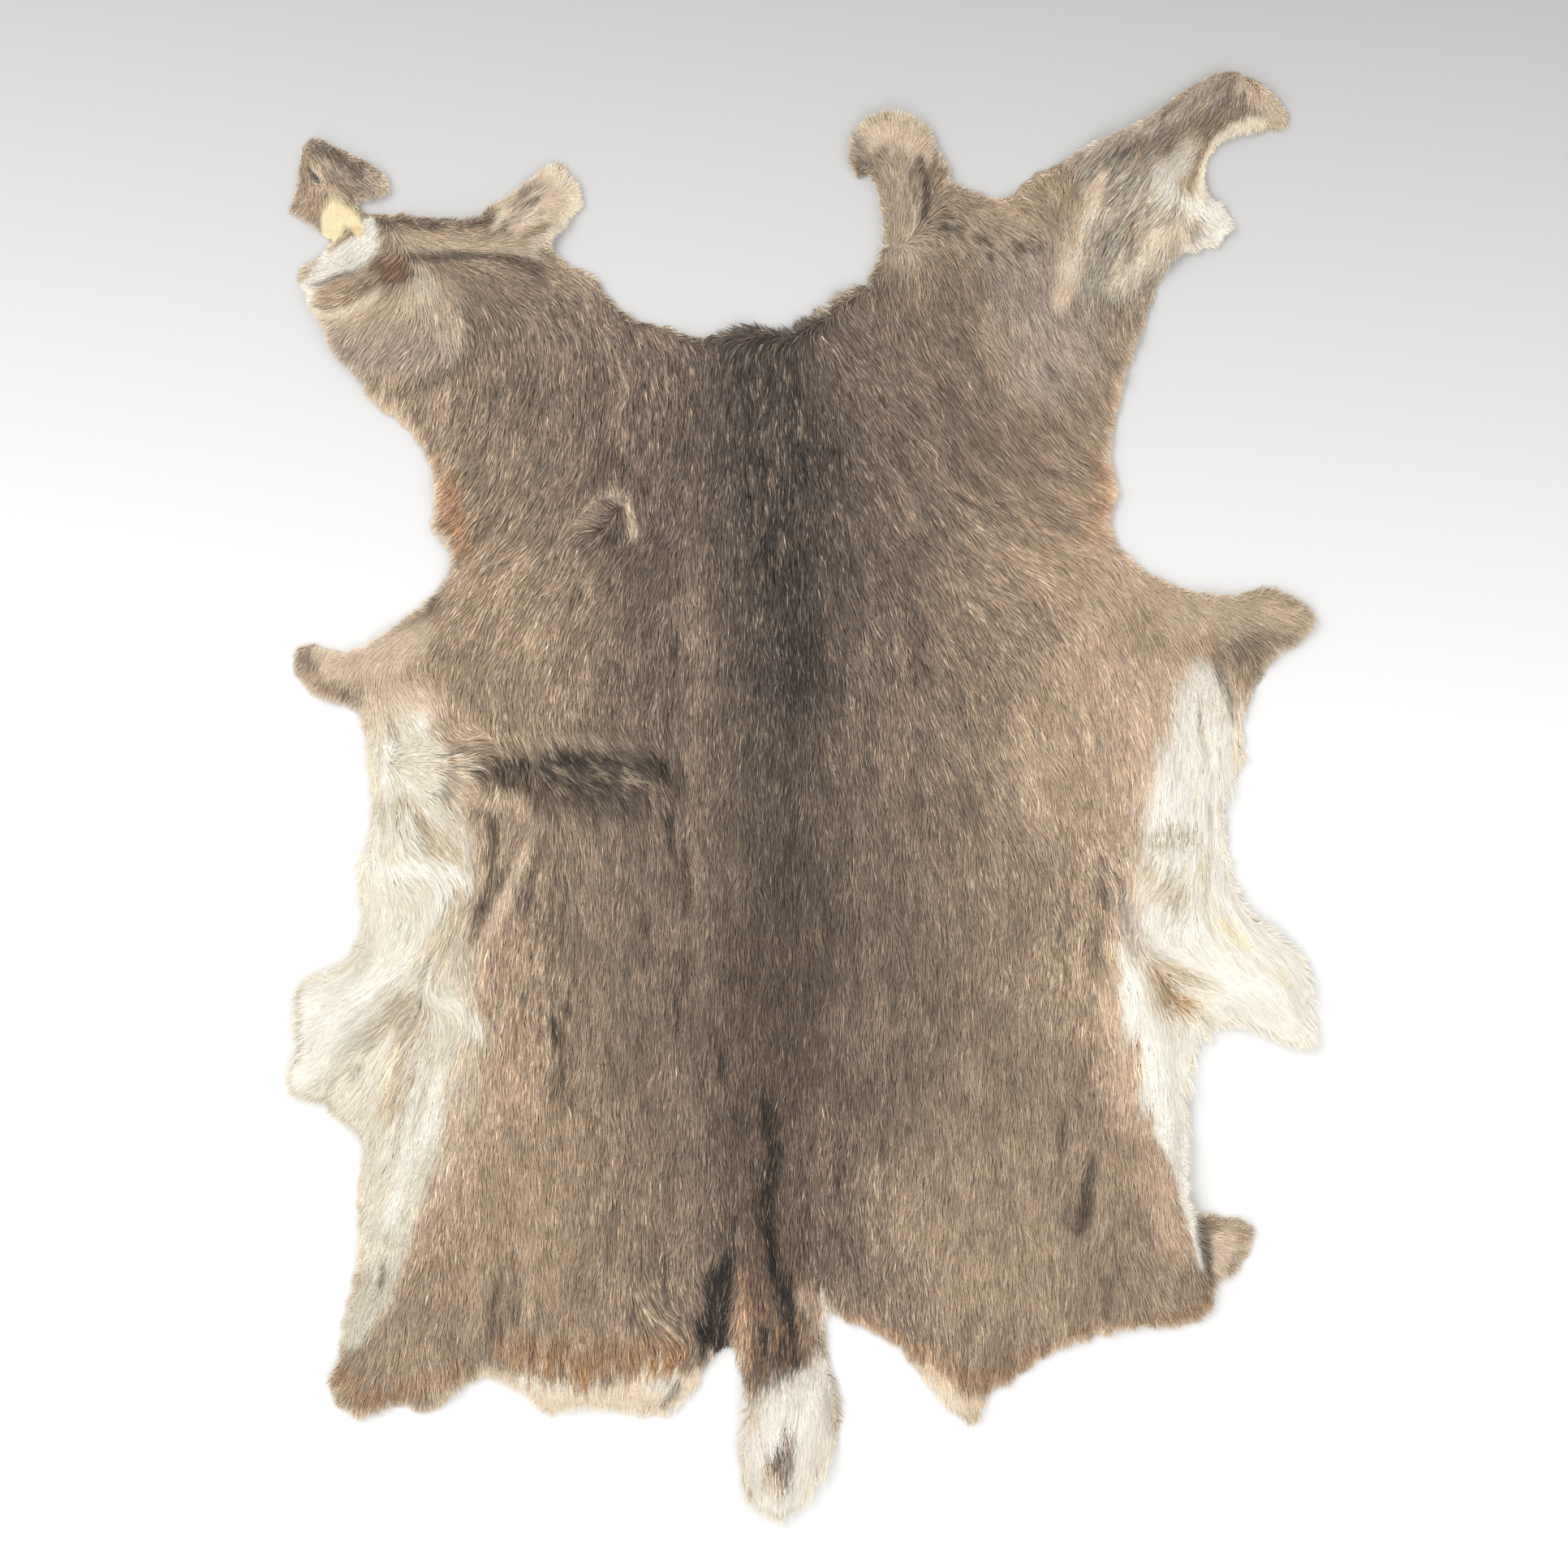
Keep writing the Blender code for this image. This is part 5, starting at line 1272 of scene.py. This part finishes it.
def deerHair(name, roughness, grain, contrast):
    # Deer hair: hollow, brittle guard hairs, combed flat. Matt, with a faint dry shine along
    # each lock and fine paler and darker lines inside it.
    material, tree, surface = newMaterial(name)
    painted = addNode(tree, "ShaderNodeAttribute", {"attribute_name": "hairColour"})
    place = addNode(tree, "ShaderNodeTexCoord")
    lines = addNode(
        tree, "ShaderNodeTexNoise",
        {"Scale": 1 / grain, "Detail": 2.0, "Roughness": 0.6},
        {"Vector": (place, "Object")},
    )
    shade = addNode(
        tree, "ShaderNodeMapRange",
        {**noiseRange, "To Min": 1 - contrast, "To Max": 1 + 0.7 * contrast},
        {"Value": (lines, "Fac")},
    )
    tint = addNode(
        tree, "ShaderNodeMix",
        {"data_type": "RGBA", "blend_type": "MULTIPLY", "Factor": 1.0},
    )
    tree.links.new(painted.outputs["Color"], tint.inputs[6])
    tree.links.new(shade.outputs["Result"], tint.inputs[7])
    gloss = addNode(
        tree, "ShaderNodeMapRange",
        {**noiseRange, "To Min": roughness - 0.1, "To Max": roughness + 0.12},
        {"Value": (lines, "Fac")},
    )
    bump = addNode(
        tree, "ShaderNodeBump",
        {"Strength": 2.5 * contrast, "Distance": 0.3 * mm},
        {"Height": (lines, "Fac")},
    )
    tree.links.new(tint.outputs[2], surface.inputs["Base Color"])
    tree.links.new(gloss.outputs["Result"], surface.inputs["Roughness"])
    tree.links.new(bump.outputs["Normal"], surface.inputs["Normal"])
    surface.inputs["IOR"].default_value = 1.55  # keratin
    surface.inputs["Specular IOR Level"].default_value = 0.35
    return material


def rawSkin():
    # Dried deer skin: bare it is smooth and waxy with fine wrinkles, and under the coat it is
    # hidden by dull underfur.
    material, tree, surface = newMaterial("dried deer skin")
    painted = addNode(tree, "ShaderNodeAttribute", {"attribute_name": "hairColour"})
    place = addNode(tree, "ShaderNodeTexCoord")
    wrinkles = addNode(
        tree, "ShaderNodeTexNoise",
        {"Scale": 1 / (5 * mm), "Detail": 5.0, "Roughness": 0.6, "Distortion": 0.8},
        {"Vector": (place, "Object")},
    )
    shade = addNode(
        tree, "ShaderNodeMapRange",
        {**noiseRange, "To Min": 0.85, "To Max": 1.08},
        {"Value": (wrinkles, "Fac")},
    )
    tint = addNode(tree, "ShaderNodeMix", {"data_type": "RGBA", "blend_type": "MULTIPLY", "Factor": 1.0})
    tree.links.new(painted.outputs["Color"], tint.inputs[6])
    tree.links.new(shade.outputs["Result"], tint.inputs[7])
    bump = addNode(
        tree, "ShaderNodeBump", {"Strength": 0.5, "Distance": 0.8 * mm}, {"Height": (wrinkles, "Fac")}
    )
    tree.links.new(tint.outputs[2], surface.inputs["Base Color"])
    tree.links.new(bump.outputs["Normal"], surface.inputs["Normal"])
    surface.inputs["Roughness"].default_value = 0.6
    surface.inputs["IOR"].default_value = 1.5
    return material


suedeColours = {"stained": "#C9B592", "scraped": "#EADFC8"}


def tannedSuede():
    # Flesh side of a tanned hide: cream suede, scraped, with soft stains and a short nap.
    material, tree, surface = newMaterial("tanned suede")
    place = addNode(tree, "ShaderNodeTexCoord")
    stains = addNode(
        tree, "ShaderNodeTexNoise",
        {"Scale": 1 / (120 * mm), "Detail": 4.0, "Roughness": 0.6},
        {"Vector": (place, "Object")},
    )
    nap = addNode(
        tree, "ShaderNodeTexNoise",
        {"Scale": 1 / (4 * mm), "Detail": 5.0, "Roughness": 0.7},
        {"Vector": (place, "Object")},
    )
    tone = addNode(tree, "ShaderNodeValToRGB", None, {"Fac": (stains, "Fac")})
    tone.color_ramp.elements[0].position = 0.35
    tone.color_ramp.elements[0].color = (*hexColour(suedeColours["stained"]), 1)
    tone.color_ramp.elements[1].position = 0.68
    tone.color_ramp.elements[1].color = (*hexColour(suedeColours["scraped"]), 1)
    gloss = addNode(
        tree, "ShaderNodeMapRange",
        {**noiseRange, "To Min": 0.78, "To Max": 0.95},
        {"Value": (nap, "Fac")},
    )
    bump = addNode(
        tree, "ShaderNodeBump", {"Strength": 0.6, "Distance": 0.5 * mm}, {"Height": (nap, "Fac")}
    )
    tree.links.new(tone.outputs["Color"], surface.inputs["Base Color"])
    tree.links.new(gloss.outputs["Result"], surface.inputs["Roughness"])
    tree.links.new(bump.outputs["Normal"], surface.inputs["Normal"])
    return material


coatHair = deerHair("deer guard hair", roughness=0.62, grain=2.5 * mm, contrast=0.14)
softHair = deerHair("deer belly hair", roughness=0.7, grain=6 * mm, contrast=0.03)
driedSkin = rawSkin()
suede = tannedSuede()


def showPiece(name, mesh, material):
    obj = bpy.data.objects.new(name, mesh)
    bpy.context.scene.collection.objects.link(obj)
    mesh.materials.append(material)
    mesh.shade_smooth()
    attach(obj, "root")
    return obj


pictureMap = {
    "sheetWidth": 0.498,  # the share of the map that one side of a sheet is wide
    "margin": 0.001,
    "cells": 100,  # in a row, for the faces of a sheet's rim
    "cellRadius": 0.45,
    "lockAcross": (0.9, 0.1),  # the right and the left edge of a lock in its cell
    "lockStart": 0.07,
    "lockLength": 0.86,
}


def flatMap(mesh):
    # The picture map of a sheet: the underside and the upper side next to each other, seen
    # straight down, and above them a cell for each face of the rim.
    places, facing = np.zeros(3 * len(mesh.vertices)), np.zeros(3 * len(mesh.polygons))
    corner, first = np.zeros(len(mesh.loops), int), np.zeros(len(mesh.polygons), int)
    mesh.vertices.foreach_get("co", places)
    mesh.polygons.foreach_get("normal", facing)
    mesh.loops.foreach_get("vertex_index", corner)
    mesh.polygons.foreach_get("loop_start", first)
    sides = np.diff(np.append(first, len(corner)))
    face = np.repeat(np.arange(len(sides)), sides)
    upward = facing[2::3]
    scale, margin = pictureMap["sheetWidth"] / (cadBox[1].x - cadBox[0].x), pictureMap["margin"]
    flat = (places.reshape(-1, 3)[corner, :2] - np.array(cadBox[0])[:2]) * scale + margin
    flat[:, 0] += 0.5 * (upward > 0)[face]
    upright = np.abs(upward) < 0.2
    cells, top = pictureMap["cells"], 2 * margin + scale * (cadBox[1].y - cadBox[0].y)
    cell = (np.cumsum(upright) - 1)[face]
    turn = 2 * math.pi * (np.arange(len(corner)) - first[face]) / sides[face]
    inCell = 0.5 + pictureMap["cellRadius"] * np.stack([np.cos(turn), np.sin(turn)], axis=1)
    onRim = np.stack([cell % cells, cell // cells], axis=1) + inCell
    onRim = onRim / cells * (1, cells * (1 - top) / (upright.sum() // cells + 1)) + (0, top)
    spots = np.where(upright[face][:, None], onRim, flat)
    mesh.uv_layers.new(name="OFBake").data.foreach_set("uv", spots.ravel())


def paintPoints(mesh, colours):
    layer = mesh.color_attributes.new("hairColour", "FLOAT_COLOR", "POINT")
    layer.data.foreach_set("color", np.hstack([colours, np.ones((len(colours), 1))]).ravel())


skinSheet = {"thickness": 1.8 * mm}


def makeSkin():
    # The tanned skin, a closed sheet on the underside of the solid.
    sheet = solidCopy()
    upper = [face for face in sheet.faces if face.normal.z > -0.5]
    bmesh.ops.delete(sheet, geom=upper, context="FACES")
    area = sum(face.calc_area() for face in sheet.faces)
    raised = bmesh.ops.extrude_face_region(sheet, geom=sheet.faces[:])["geom"]
    lifted = [item for item in raised if isinstance(item, bmesh.types.BMVert)]
    bmesh.ops.translate(sheet, verts=lifted, vec=(0, 0, skinSheet["thickness"]))
    bmesh.ops.recalc_face_normals(sheet, faces=sheet.faces[:])
    mesh = bpy.data.meshes.new("skin")
    sheet.to_mesh(mesh)
    sheet.free()
    flatMap(mesh)
    return showPiece("skin", mesh, suede), area


underfur = {
    "depth": (3.2 * mm, 1.6 * mm),  # below the tips of the coat, in brown and in white hair
    "bareDepth": 0.25,  # the share of that depth on bare skin
    "leastHeight": 2.2 * mm,  # above the skin's underside
    "rim": 1.0 * mm,  # in from the cut edge, where it keeps to the solid's rim
    "cuts": 2,  # of each edge of the solid's top
    "gapShade": 0.46,  # of brown hair between the locks, as a share of its tips
    "paleGapShade": 0.93,  # of white hair
}


def gapColour(colour):
    # What shows between the locks: the underfur's own darker tone with painted shade, and less of both in
    # pale hair.
    bright = paleness(colour)[..., None]
    return colour * (underfur["gapShade"] + bright * (underfur["paleGapShade"] - underfur["gapShade"]))


def makeUnderfur():
    # The dull woolly layer under the guard hairs, and the bare skin where there are none.
    cover = solidCopy()
    lower = [face for face in cover.faces if face.normal.z < -0.5]
    bmesh.ops.delete(cover, geom=lower, context="FACES")
    bmesh.ops.subdivide_edges(cover, edges=cover.edges[:], cuts=underfur["cuts"], use_grid_fill=True)
    mesh = bpy.data.meshes.new("underfur")
    cover.to_mesh(mesh)
    cover.free()
    spots = np.zeros(3 * len(mesh.vertices))
    mesh.vertices.foreach_get("co", spots)
    spots = spots.reshape(-1, 3)
    full = onNet(hairLeft, spots)
    colour = onNet(tipColour, spots)
    depth = between(underfur["depth"], paleness(colour)) * between((underfur["bareDepth"], 1), full)
    wanted = onNet(coatHeight, spots) - depth
    least = onNet(skinHeight, spots) + underfur["leastHeight"]
    rimHeight = np.minimum(spots[:, 2] + skinSheet["thickness"], least)
    onRim = onNet(edgeGap, spots) < underfur["rim"]
    spots[:, 2] = np.where(onRim, rimHeight, np.maximum(wanted, least))
    mesh.vertices.foreach_set("co", spots.ravel())
    paintPoints(mesh, gapColour(colour) * full[:, None] + colour * (1 - full[:, None]))
    flatMap(mesh)
    mesh.update()
    return showPiece("underfur", mesh, driedSkin)


# The coat's tufts: size and seed of their waves.
clumps = {
    "turn": (13 * mm, 31),
    "shade": (10 * mm, 32),
    "patches": (45 * mm, 33),
}
clumpTurn = mottle(*clumps["turn"])
clumpShade = mottle(*clumps["shade"])
patchShade = mottle(*clumps["patches"])


def plantRoots(rng, spacing):
    # One root in each square of a net, at a random place in it.
    across = np.arange(cadBox[0].x, cadBox[1].x, spacing)
    along = np.arange(cadBox[0].y, cadBox[1].y, spacing)
    roots = np.stack(np.meshgrid(across, along), axis=-1).reshape(-1, 2)
    roots = roots + rng.random(roots.shape) * spacing
    inside = onNet(edgeGap, roots) > coat["rootInside"]
    full = onNet(hairLeft, roots) > rng.random(len(roots))
    long = onNet(lengthOnNet, roots) > coat["longHair"]
    kept = ~long | (rng.random(len(roots)) < coat["longShare"])
    return roots[inside & full & kept]


def combStep(spots, turn, step, outward):
    way = onNet(wayOnNet, spots)
    if outward > 0:
        slope = 1.5 * net["pitch"]
        right = onNet(edgeGap, spots + (slope, 0)) - onNet(edgeGap, spots - (slope, 0))
        up = onNet(edgeGap, spots + (0, slope)) - onNet(edgeGap, spots - (0, slope))
        out = -np.stack([right, up], axis=-1)
        way = way + outward * out / np.maximum(np.linalg.norm(out, axis=-1), 1e-9)[..., None]
        way /= np.maximum(np.linalg.norm(way, axis=-1), 1e-9)[..., None]
    cosine, sine = np.cos(turn), np.sin(turn)
    right = way[:, 0] * cosine - way[:, 1] * sine
    up = way[:, 0] * sine + way[:, 1] * cosine
    return spots + np.stack([right, up], axis=-1) * step[:, None]


def combPaths(rng, roots, bends, length, outward):
    # The middle line of each lock: (lock, point, x and y).
    stray = np.radians(coat["stray"]) * rng.standard_normal(len(roots))
    stray += np.radians(coat["clumpStray"]) * onNet(clumpTurn, roots)
    wave = np.zeros(len(roots))
    if bends == coat["softBends"]:
        wave = np.radians(coat["wave"]) * rng.standard_normal(len(roots))
    phase = rng.random(len(roots)) * 2 * math.pi
    for trial in range(coat["trials"]):
        path = [roots]
        for k in range(bends):
            turn = stray + wave * np.sin(phase + coat["wavePhase"] * k)
            path.append(combStep(path[-1], turn, length / bends, outward))
        over = -onNet(edgeGap, path[-1]) > coat["pastEdge"] + coat["pastEdgePerLength"] * length
        length = np.where(over, coat["shorten"] * length, length)
    return np.stack(path, axis=1)


def uneven(rng, count, least, more):
    return least + more * rng.random(count)


def growLocks(rng, roots, bends, lengthShare=1.0, outward=0.0, rise=0.0):
    count = len(roots)
    length = onNet(lengthOnNet, roots) * lengthShare * uneven(rng, count, *coat["unevenLength"])
    width = coat["width"] + coat["widthPerLength"] * length
    width = width * uneven(rng, count, *coat["unevenWidth"])
    path = combPaths(rng, roots, bends, length, outward)
    share = np.linspace(0, 1, bends + 1)
    painted = paintedAlong(rng, path)
    pale = paleness(painted)
    rootDepth, tipRise, depthRange, roll = (
        between(coat[key], pale)[:, None] for key in ("rootDepth", "tipRise", "unevenDepth", "roll")
    )
    depth = depthRange * rng.standard_normal(count)[:, None]
    lift = -rootDepth + (rootDepth + tipRise) * share ** coat["riseCurve"]
    lift = lift + depth * between((coat["unevenRoot"], 1), share)
    outside = np.maximum(-onNet(edgeGap, path), 0)
    height = onNet(coatHeight, path) + lift + rise - coat["droop"] * outside
    inside = outside == 0
    least = onNet(skinHeight, path) * inside + coat["overSkin"] * inside + coat["overFloor"]
    height = np.maximum(height, least)
    spine = np.concatenate([path, height[..., None]], axis=-1)
    ahead = np.gradient(path, axis=1)
    ahead /= np.maximum(np.linalg.norm(ahead, axis=-1), 1e-9)[..., None]
    roll = np.radians(roll * rng.standard_normal(count)[:, None])
    across, upward = np.cos(roll), np.sin(roll) + 0 * share
    side = np.stack([ahead[..., 1] * across, -ahead[..., 0] * across, upward], axis=-1)
    taper = np.interp(share, *coat["taper"])
    half = (0.5 * width[:, None] * taper)[..., None] * side
    overFloor = coat["edgeOverFloor"]
    half[..., 2] = np.clip(half[..., 2], overFloor - height, height - overFloor)
    return spine, half, lockColours(rng, roots, painted, pale, share), share


def paleness(colour):
    # 0 in brown hair and 1 in white.
    return smoothStep(*coat["whiteRange"], colour.mean(axis=-1))


def between(ends, share):
    return ends[0] + (ends[1] - ends[0]) * share


def paintedAlong(rng, path):
    # The painted colour at a random place in the middle part of each lock, which mixes the
    # hairs where two colours meet.
    at = between(coat["colourAt"], rng.random(len(path))) * (path.shape[1] - 1)
    first = at.astype(int)
    share = (at - first)[:, None]
    lock = np.arange(len(path))
    return onNet(tipColour, path[lock, first] * (1 - share) + path[lock, first + 1] * share)


def lockColours(rng, roots, colour, pale, share):
    # Each lock is darker at its root and paler at its tip, and no two are alike.
    count = len(roots)
    shade = np.exp(between(coat["unevenShade"], pale) * rng.standard_normal(count))
    tipped = coat["paleTip"] * (rng.random(count) < coat["paleLocks"]) * (1 - pale)
    colour = colour + tipped[:, None] * (hexColour(palette["tan"]) - colour)
    clump = onNet(clumpShade, roots) + onNet(patchShade, roots)
    shade *= np.exp(between(coat["clumpShade"], pale) * clump)
    streak = coat["fineStreak"] * onNet(fineStreaks, roots)
    streak = streak + coat["broadStreak"] * onNet(broadStreaks, roots)
    shade *= np.exp(between(coat["streakShare"], pale) * streak)
    shade *= 1 - between(coat["parting"], pale) * onNet(partings, roots)
    warmth = between(coat["warmth"], pale) * rng.standard_normal(count) + coat["meanWarmth"]
    tint = np.stack([1 + warmth, np.ones(count), 1 - coat["blueWarmth"] * warmth], axis=-1)
    ends = [between(coat[key], pale)[:, None] for key in ("rootShade", "tipShade")]
    along = between(ends, share ** coat["shadeCurve"])
    whole = np.clip(colour * tint * shade[:, None], 0, coat["brightest"])
    return whole[:, None, :] * along[..., None]


def ribbonMesh(name, locks):
    # One mesh of all the locks, with a cell of the picture map for each.
    spine, half, colours, share = locks
    count, bends = len(spine), len(share) - 1
    right, left = (spine + half)[:, :-1], (spine - half)[:, :-1]
    points = np.concatenate([right, left, spine[:, -1:]], axis=1)
    perLock = 2 * bends + 1
    corners = []
    for k in range(bends - 1):
        corners += [(k, k + 1, bends + k + 1), (k, bends + k + 1, bends + k)]
    corners.append((bends - 1, 2 * bends, 2 * bends - 1))
    faces = (np.array(corners)[None] + perLock * np.arange(count)[:, None, None]).reshape(-1, 3)
    mesh = bpy.data.meshes.new(name)
    mesh.vertices.add(count * perLock)
    mesh.vertices.foreach_set("co", points.reshape(-1))
    mesh.loops.add(faces.size)
    mesh.loops.foreach_set("vertex_index", faces.reshape(-1))
    mesh.polygons.add(len(faces))
    mesh.polygons.foreach_set("loop_start", 3 * np.arange(len(faces)))
    mesh.update(calc_edges=True)
    onPoints = np.concatenate([colours[:, :-1], colours[:, :-1], colours[:, -1:]], axis=1)
    paintPoints(mesh, onPoints.reshape(-1, 3))
    cells = math.ceil(math.sqrt(count))
    acrossCell = np.append(np.repeat(pictureMap["lockAcross"], bends), 0.5)
    alongCell = np.concatenate([share[:-1], share[:-1], [1]]) * pictureMap["lockLength"]
    alongCell = alongCell + pictureMap["lockStart"]
    cell = np.arange(count)
    u = ((cell % cells)[:, None] + acrossCell) / cells
    v = ((cell // cells)[:, None] + alongCell) / cells
    onMap = np.stack([u, v], axis=-1).reshape(-1, 2)[faces.reshape(-1)]
    mesh.uv_layers.new(name="OFBake").data.foreach_set("uv", onMap.reshape(-1))
    mesh.validate()
    return mesh


def showLocks(name, locks, material):
    print(name, len(locks[0]), "locks")
    return showPiece(name, ribbonMesh(name, locks), material)


# The coat's pieces, from the head end down: name, and the photograph's row where each ends.
coatPieces = (
    ("coatHead", 520),
    ("coatShoulders", 740),
    ("coatSides", 960),
    ("coatLoins", 1180),
    ("coatHaunches", 1410),
    ("coatRump", view["photoWidth"]),
)


def makeCoat():
    rng = np.random.default_rng(coat["seed"])
    roots = plantRoots(rng, coat["spacing"])
    long = onNet(lengthOnNet, roots) > coat["longHair"]
    pieces, start = [], 0
    for name, end in coatPieces:
        high, low = onHide(0, start)[1], onHide(0, end)[1]
        here = roots[~long & (roots[:, 1] <= high) & (roots[:, 1] > low)]
        blend = coat["sleekBlend"] * rng.standard_normal(len(here))
        sleek = onNet(lengthOnNet, here) + blend < coat["sleekHair"]
        for ending, bends, group in (
            ("", coat["sleekBends"], here[sleek]),
            ("Deep", coat["deepBends"], here[~sleek]),
        ):
            pieces.append(showLocks(name + ending, growLocks(rng, group, bends), coatHair))
        start = end
    tail = roots[:, 1] < onHide(0, coat["tailRow"])[1]
    for name, chosen in (
        ("hairBellyRight", long & ~tail & (roots[:, 0] > 0)),
        ("hairBellyLeft", long & ~tail & (roots[:, 0] <= 0)),
        ("hairTail", long & tail),
    ):
        pieces.append(showLocks(name, growLocks(rng, roots[chosen], coat["softBends"]), softHair))
    return pieces


rim = {
    "seed": 8,
    "spacing": 1.7 * mm,
    "reach": 7 * mm,  # in from the cut edge
    "outward": 0.9,  # how far a wisp turns from the lie of the hair to the way out
    "lengthShare": 0.6,
    "bends": 3,
    "rise": -0.4 * mm,
}


def makeRim():
    # Wisps that stand out past the cut edge all round.
    rng = np.random.default_rng(rim["seed"])
    roots = plantRoots(rng, rim["spacing"])
    roots = roots[onNet(edgeGap, roots) < rim["reach"]]
    locks = growLocks(rng, roots, rim["bends"], rim["lengthShare"], rim["outward"], rim["rise"])
    return showLocks("hairRim", locks, softHair)


print("making the skin and the underfur")
skin, skinArea = makeSkin()
underfurCover = makeUnderfur()
print("combing the hair")
hairPieces = makeCoat() + [makeRim()]
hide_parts("hide")


room = {
    "floorSize": 14,
    "floorDepth": 0.2 * mm,  # below the hide, so that no two faces lie in one plane
    "fadeEnd": 0.75,  # metres towards the head end, where the far colour, a painted shade, is reached
    "nearColour": "#EFEFEF",
    "farColour": "#B6B6B6",
    "worldColour": "#FFFDFA",
    "worldStrength": 0.68,
}


def makeFloor():
    # Seamless studio paper: matt and pale, with painted shade that makes it a little greyer towards the
    # head end.
    half = room["floorSize"] / 2
    mesh = bpy.data.meshes.new("floor")
    corners = [(-half, -half, 0), (half, -half, 0), (half, half, 0), (-half, half, 0)]
    mesh.from_pydata(corners, [], [(0, 1, 2, 3)])
    floor = bpy.data.objects.new("floor", mesh)
    floor.location.z = -room["floorDepth"]
    bpy.context.scene.collection.objects.link(floor)
    material, tree, surface = newMaterial("studio paper")
    place = addNode(tree, "ShaderNodeTexCoord")
    apart = addNode(tree, "ShaderNodeSeparateXYZ", None, {"Vector": (place, "Object")})
    share = addNode(
        tree, "ShaderNodeMapRange",
        {"From Min": 0.0, "From Max": room["fadeEnd"]},
        {"Value": (apart, "Y")},
    )
    tone = addNode(tree, "ShaderNodeValToRGB", None, {"Fac": (share, "Result")})
    tone.color_ramp.elements[0].color = (*hexColour(room["nearColour"]), 1)
    tone.color_ramp.elements[1].color = (*hexColour(room["farColour"]), 1)
    tree.links.new(tone.outputs["Color"], surface.inputs["Base Color"])
    surface.inputs["Roughness"].default_value = 0.9
    surface.inputs["Specular IOR Level"].default_value = 0.2
    mesh.materials.append(material)
    return floor


Lamp = namedtuple("Lamp", "name x y z size power")
lamps = (
    Lamp("window light", -2.2, 1.6, 2.4, 2.8, 82),
    Lamp("fill", 2.2, -0.6, 2.6, 3.0, 24),
    Lamp("low light", -0.4, -2.6, 2.2, 2.4, 26),
)


def makeLights():
    for lamp in lamps:
        light = bpy.data.lights.new(lamp.name, "AREA")
        light.size = lamp.size
        light.energy = lamp.power
        obj = bpy.data.objects.new(lamp.name, light)
        obj.location = (lamp.x, lamp.y, lamp.z)
        obj.rotation_euler = Vector(obj.location).to_track_quat("Z", "Y").to_euler()
        bpy.context.scene.collection.objects.link(obj)
    world = bpy.data.worlds.new("studio")
    world.use_nodes = True
    sky = world.node_tree.nodes["Background"]
    sky.inputs["Color"].default_value = (*hexColour(room["worldColour"]), 1)
    sky.inputs["Strength"].default_value = room["worldStrength"]
    bpy.context.scene.world = world
    bpy.context.scene.view_settings.view_transform = "Standard"


def makeCamera():
    lens = bpy.data.cameras.new("camera")
    lens.lens = view["lens"]
    lens.sensor_width = view["sensor"]
    camera = bpy.data.objects.new("camera", lens)
    across = view["photoWidth"] * photo["pixelOnHide"]
    x, y = onHide(photo["middle"], photo["middle"])
    camera.location = (x, y, across * view["lens"] / view["sensor"] + 0.5 * cadBox[1].z)
    bpy.context.scene.collection.objects.link(camera)
    bpy.context.scene.camera = camera


floor = makeFloor()
makeLights()
makeCamera()
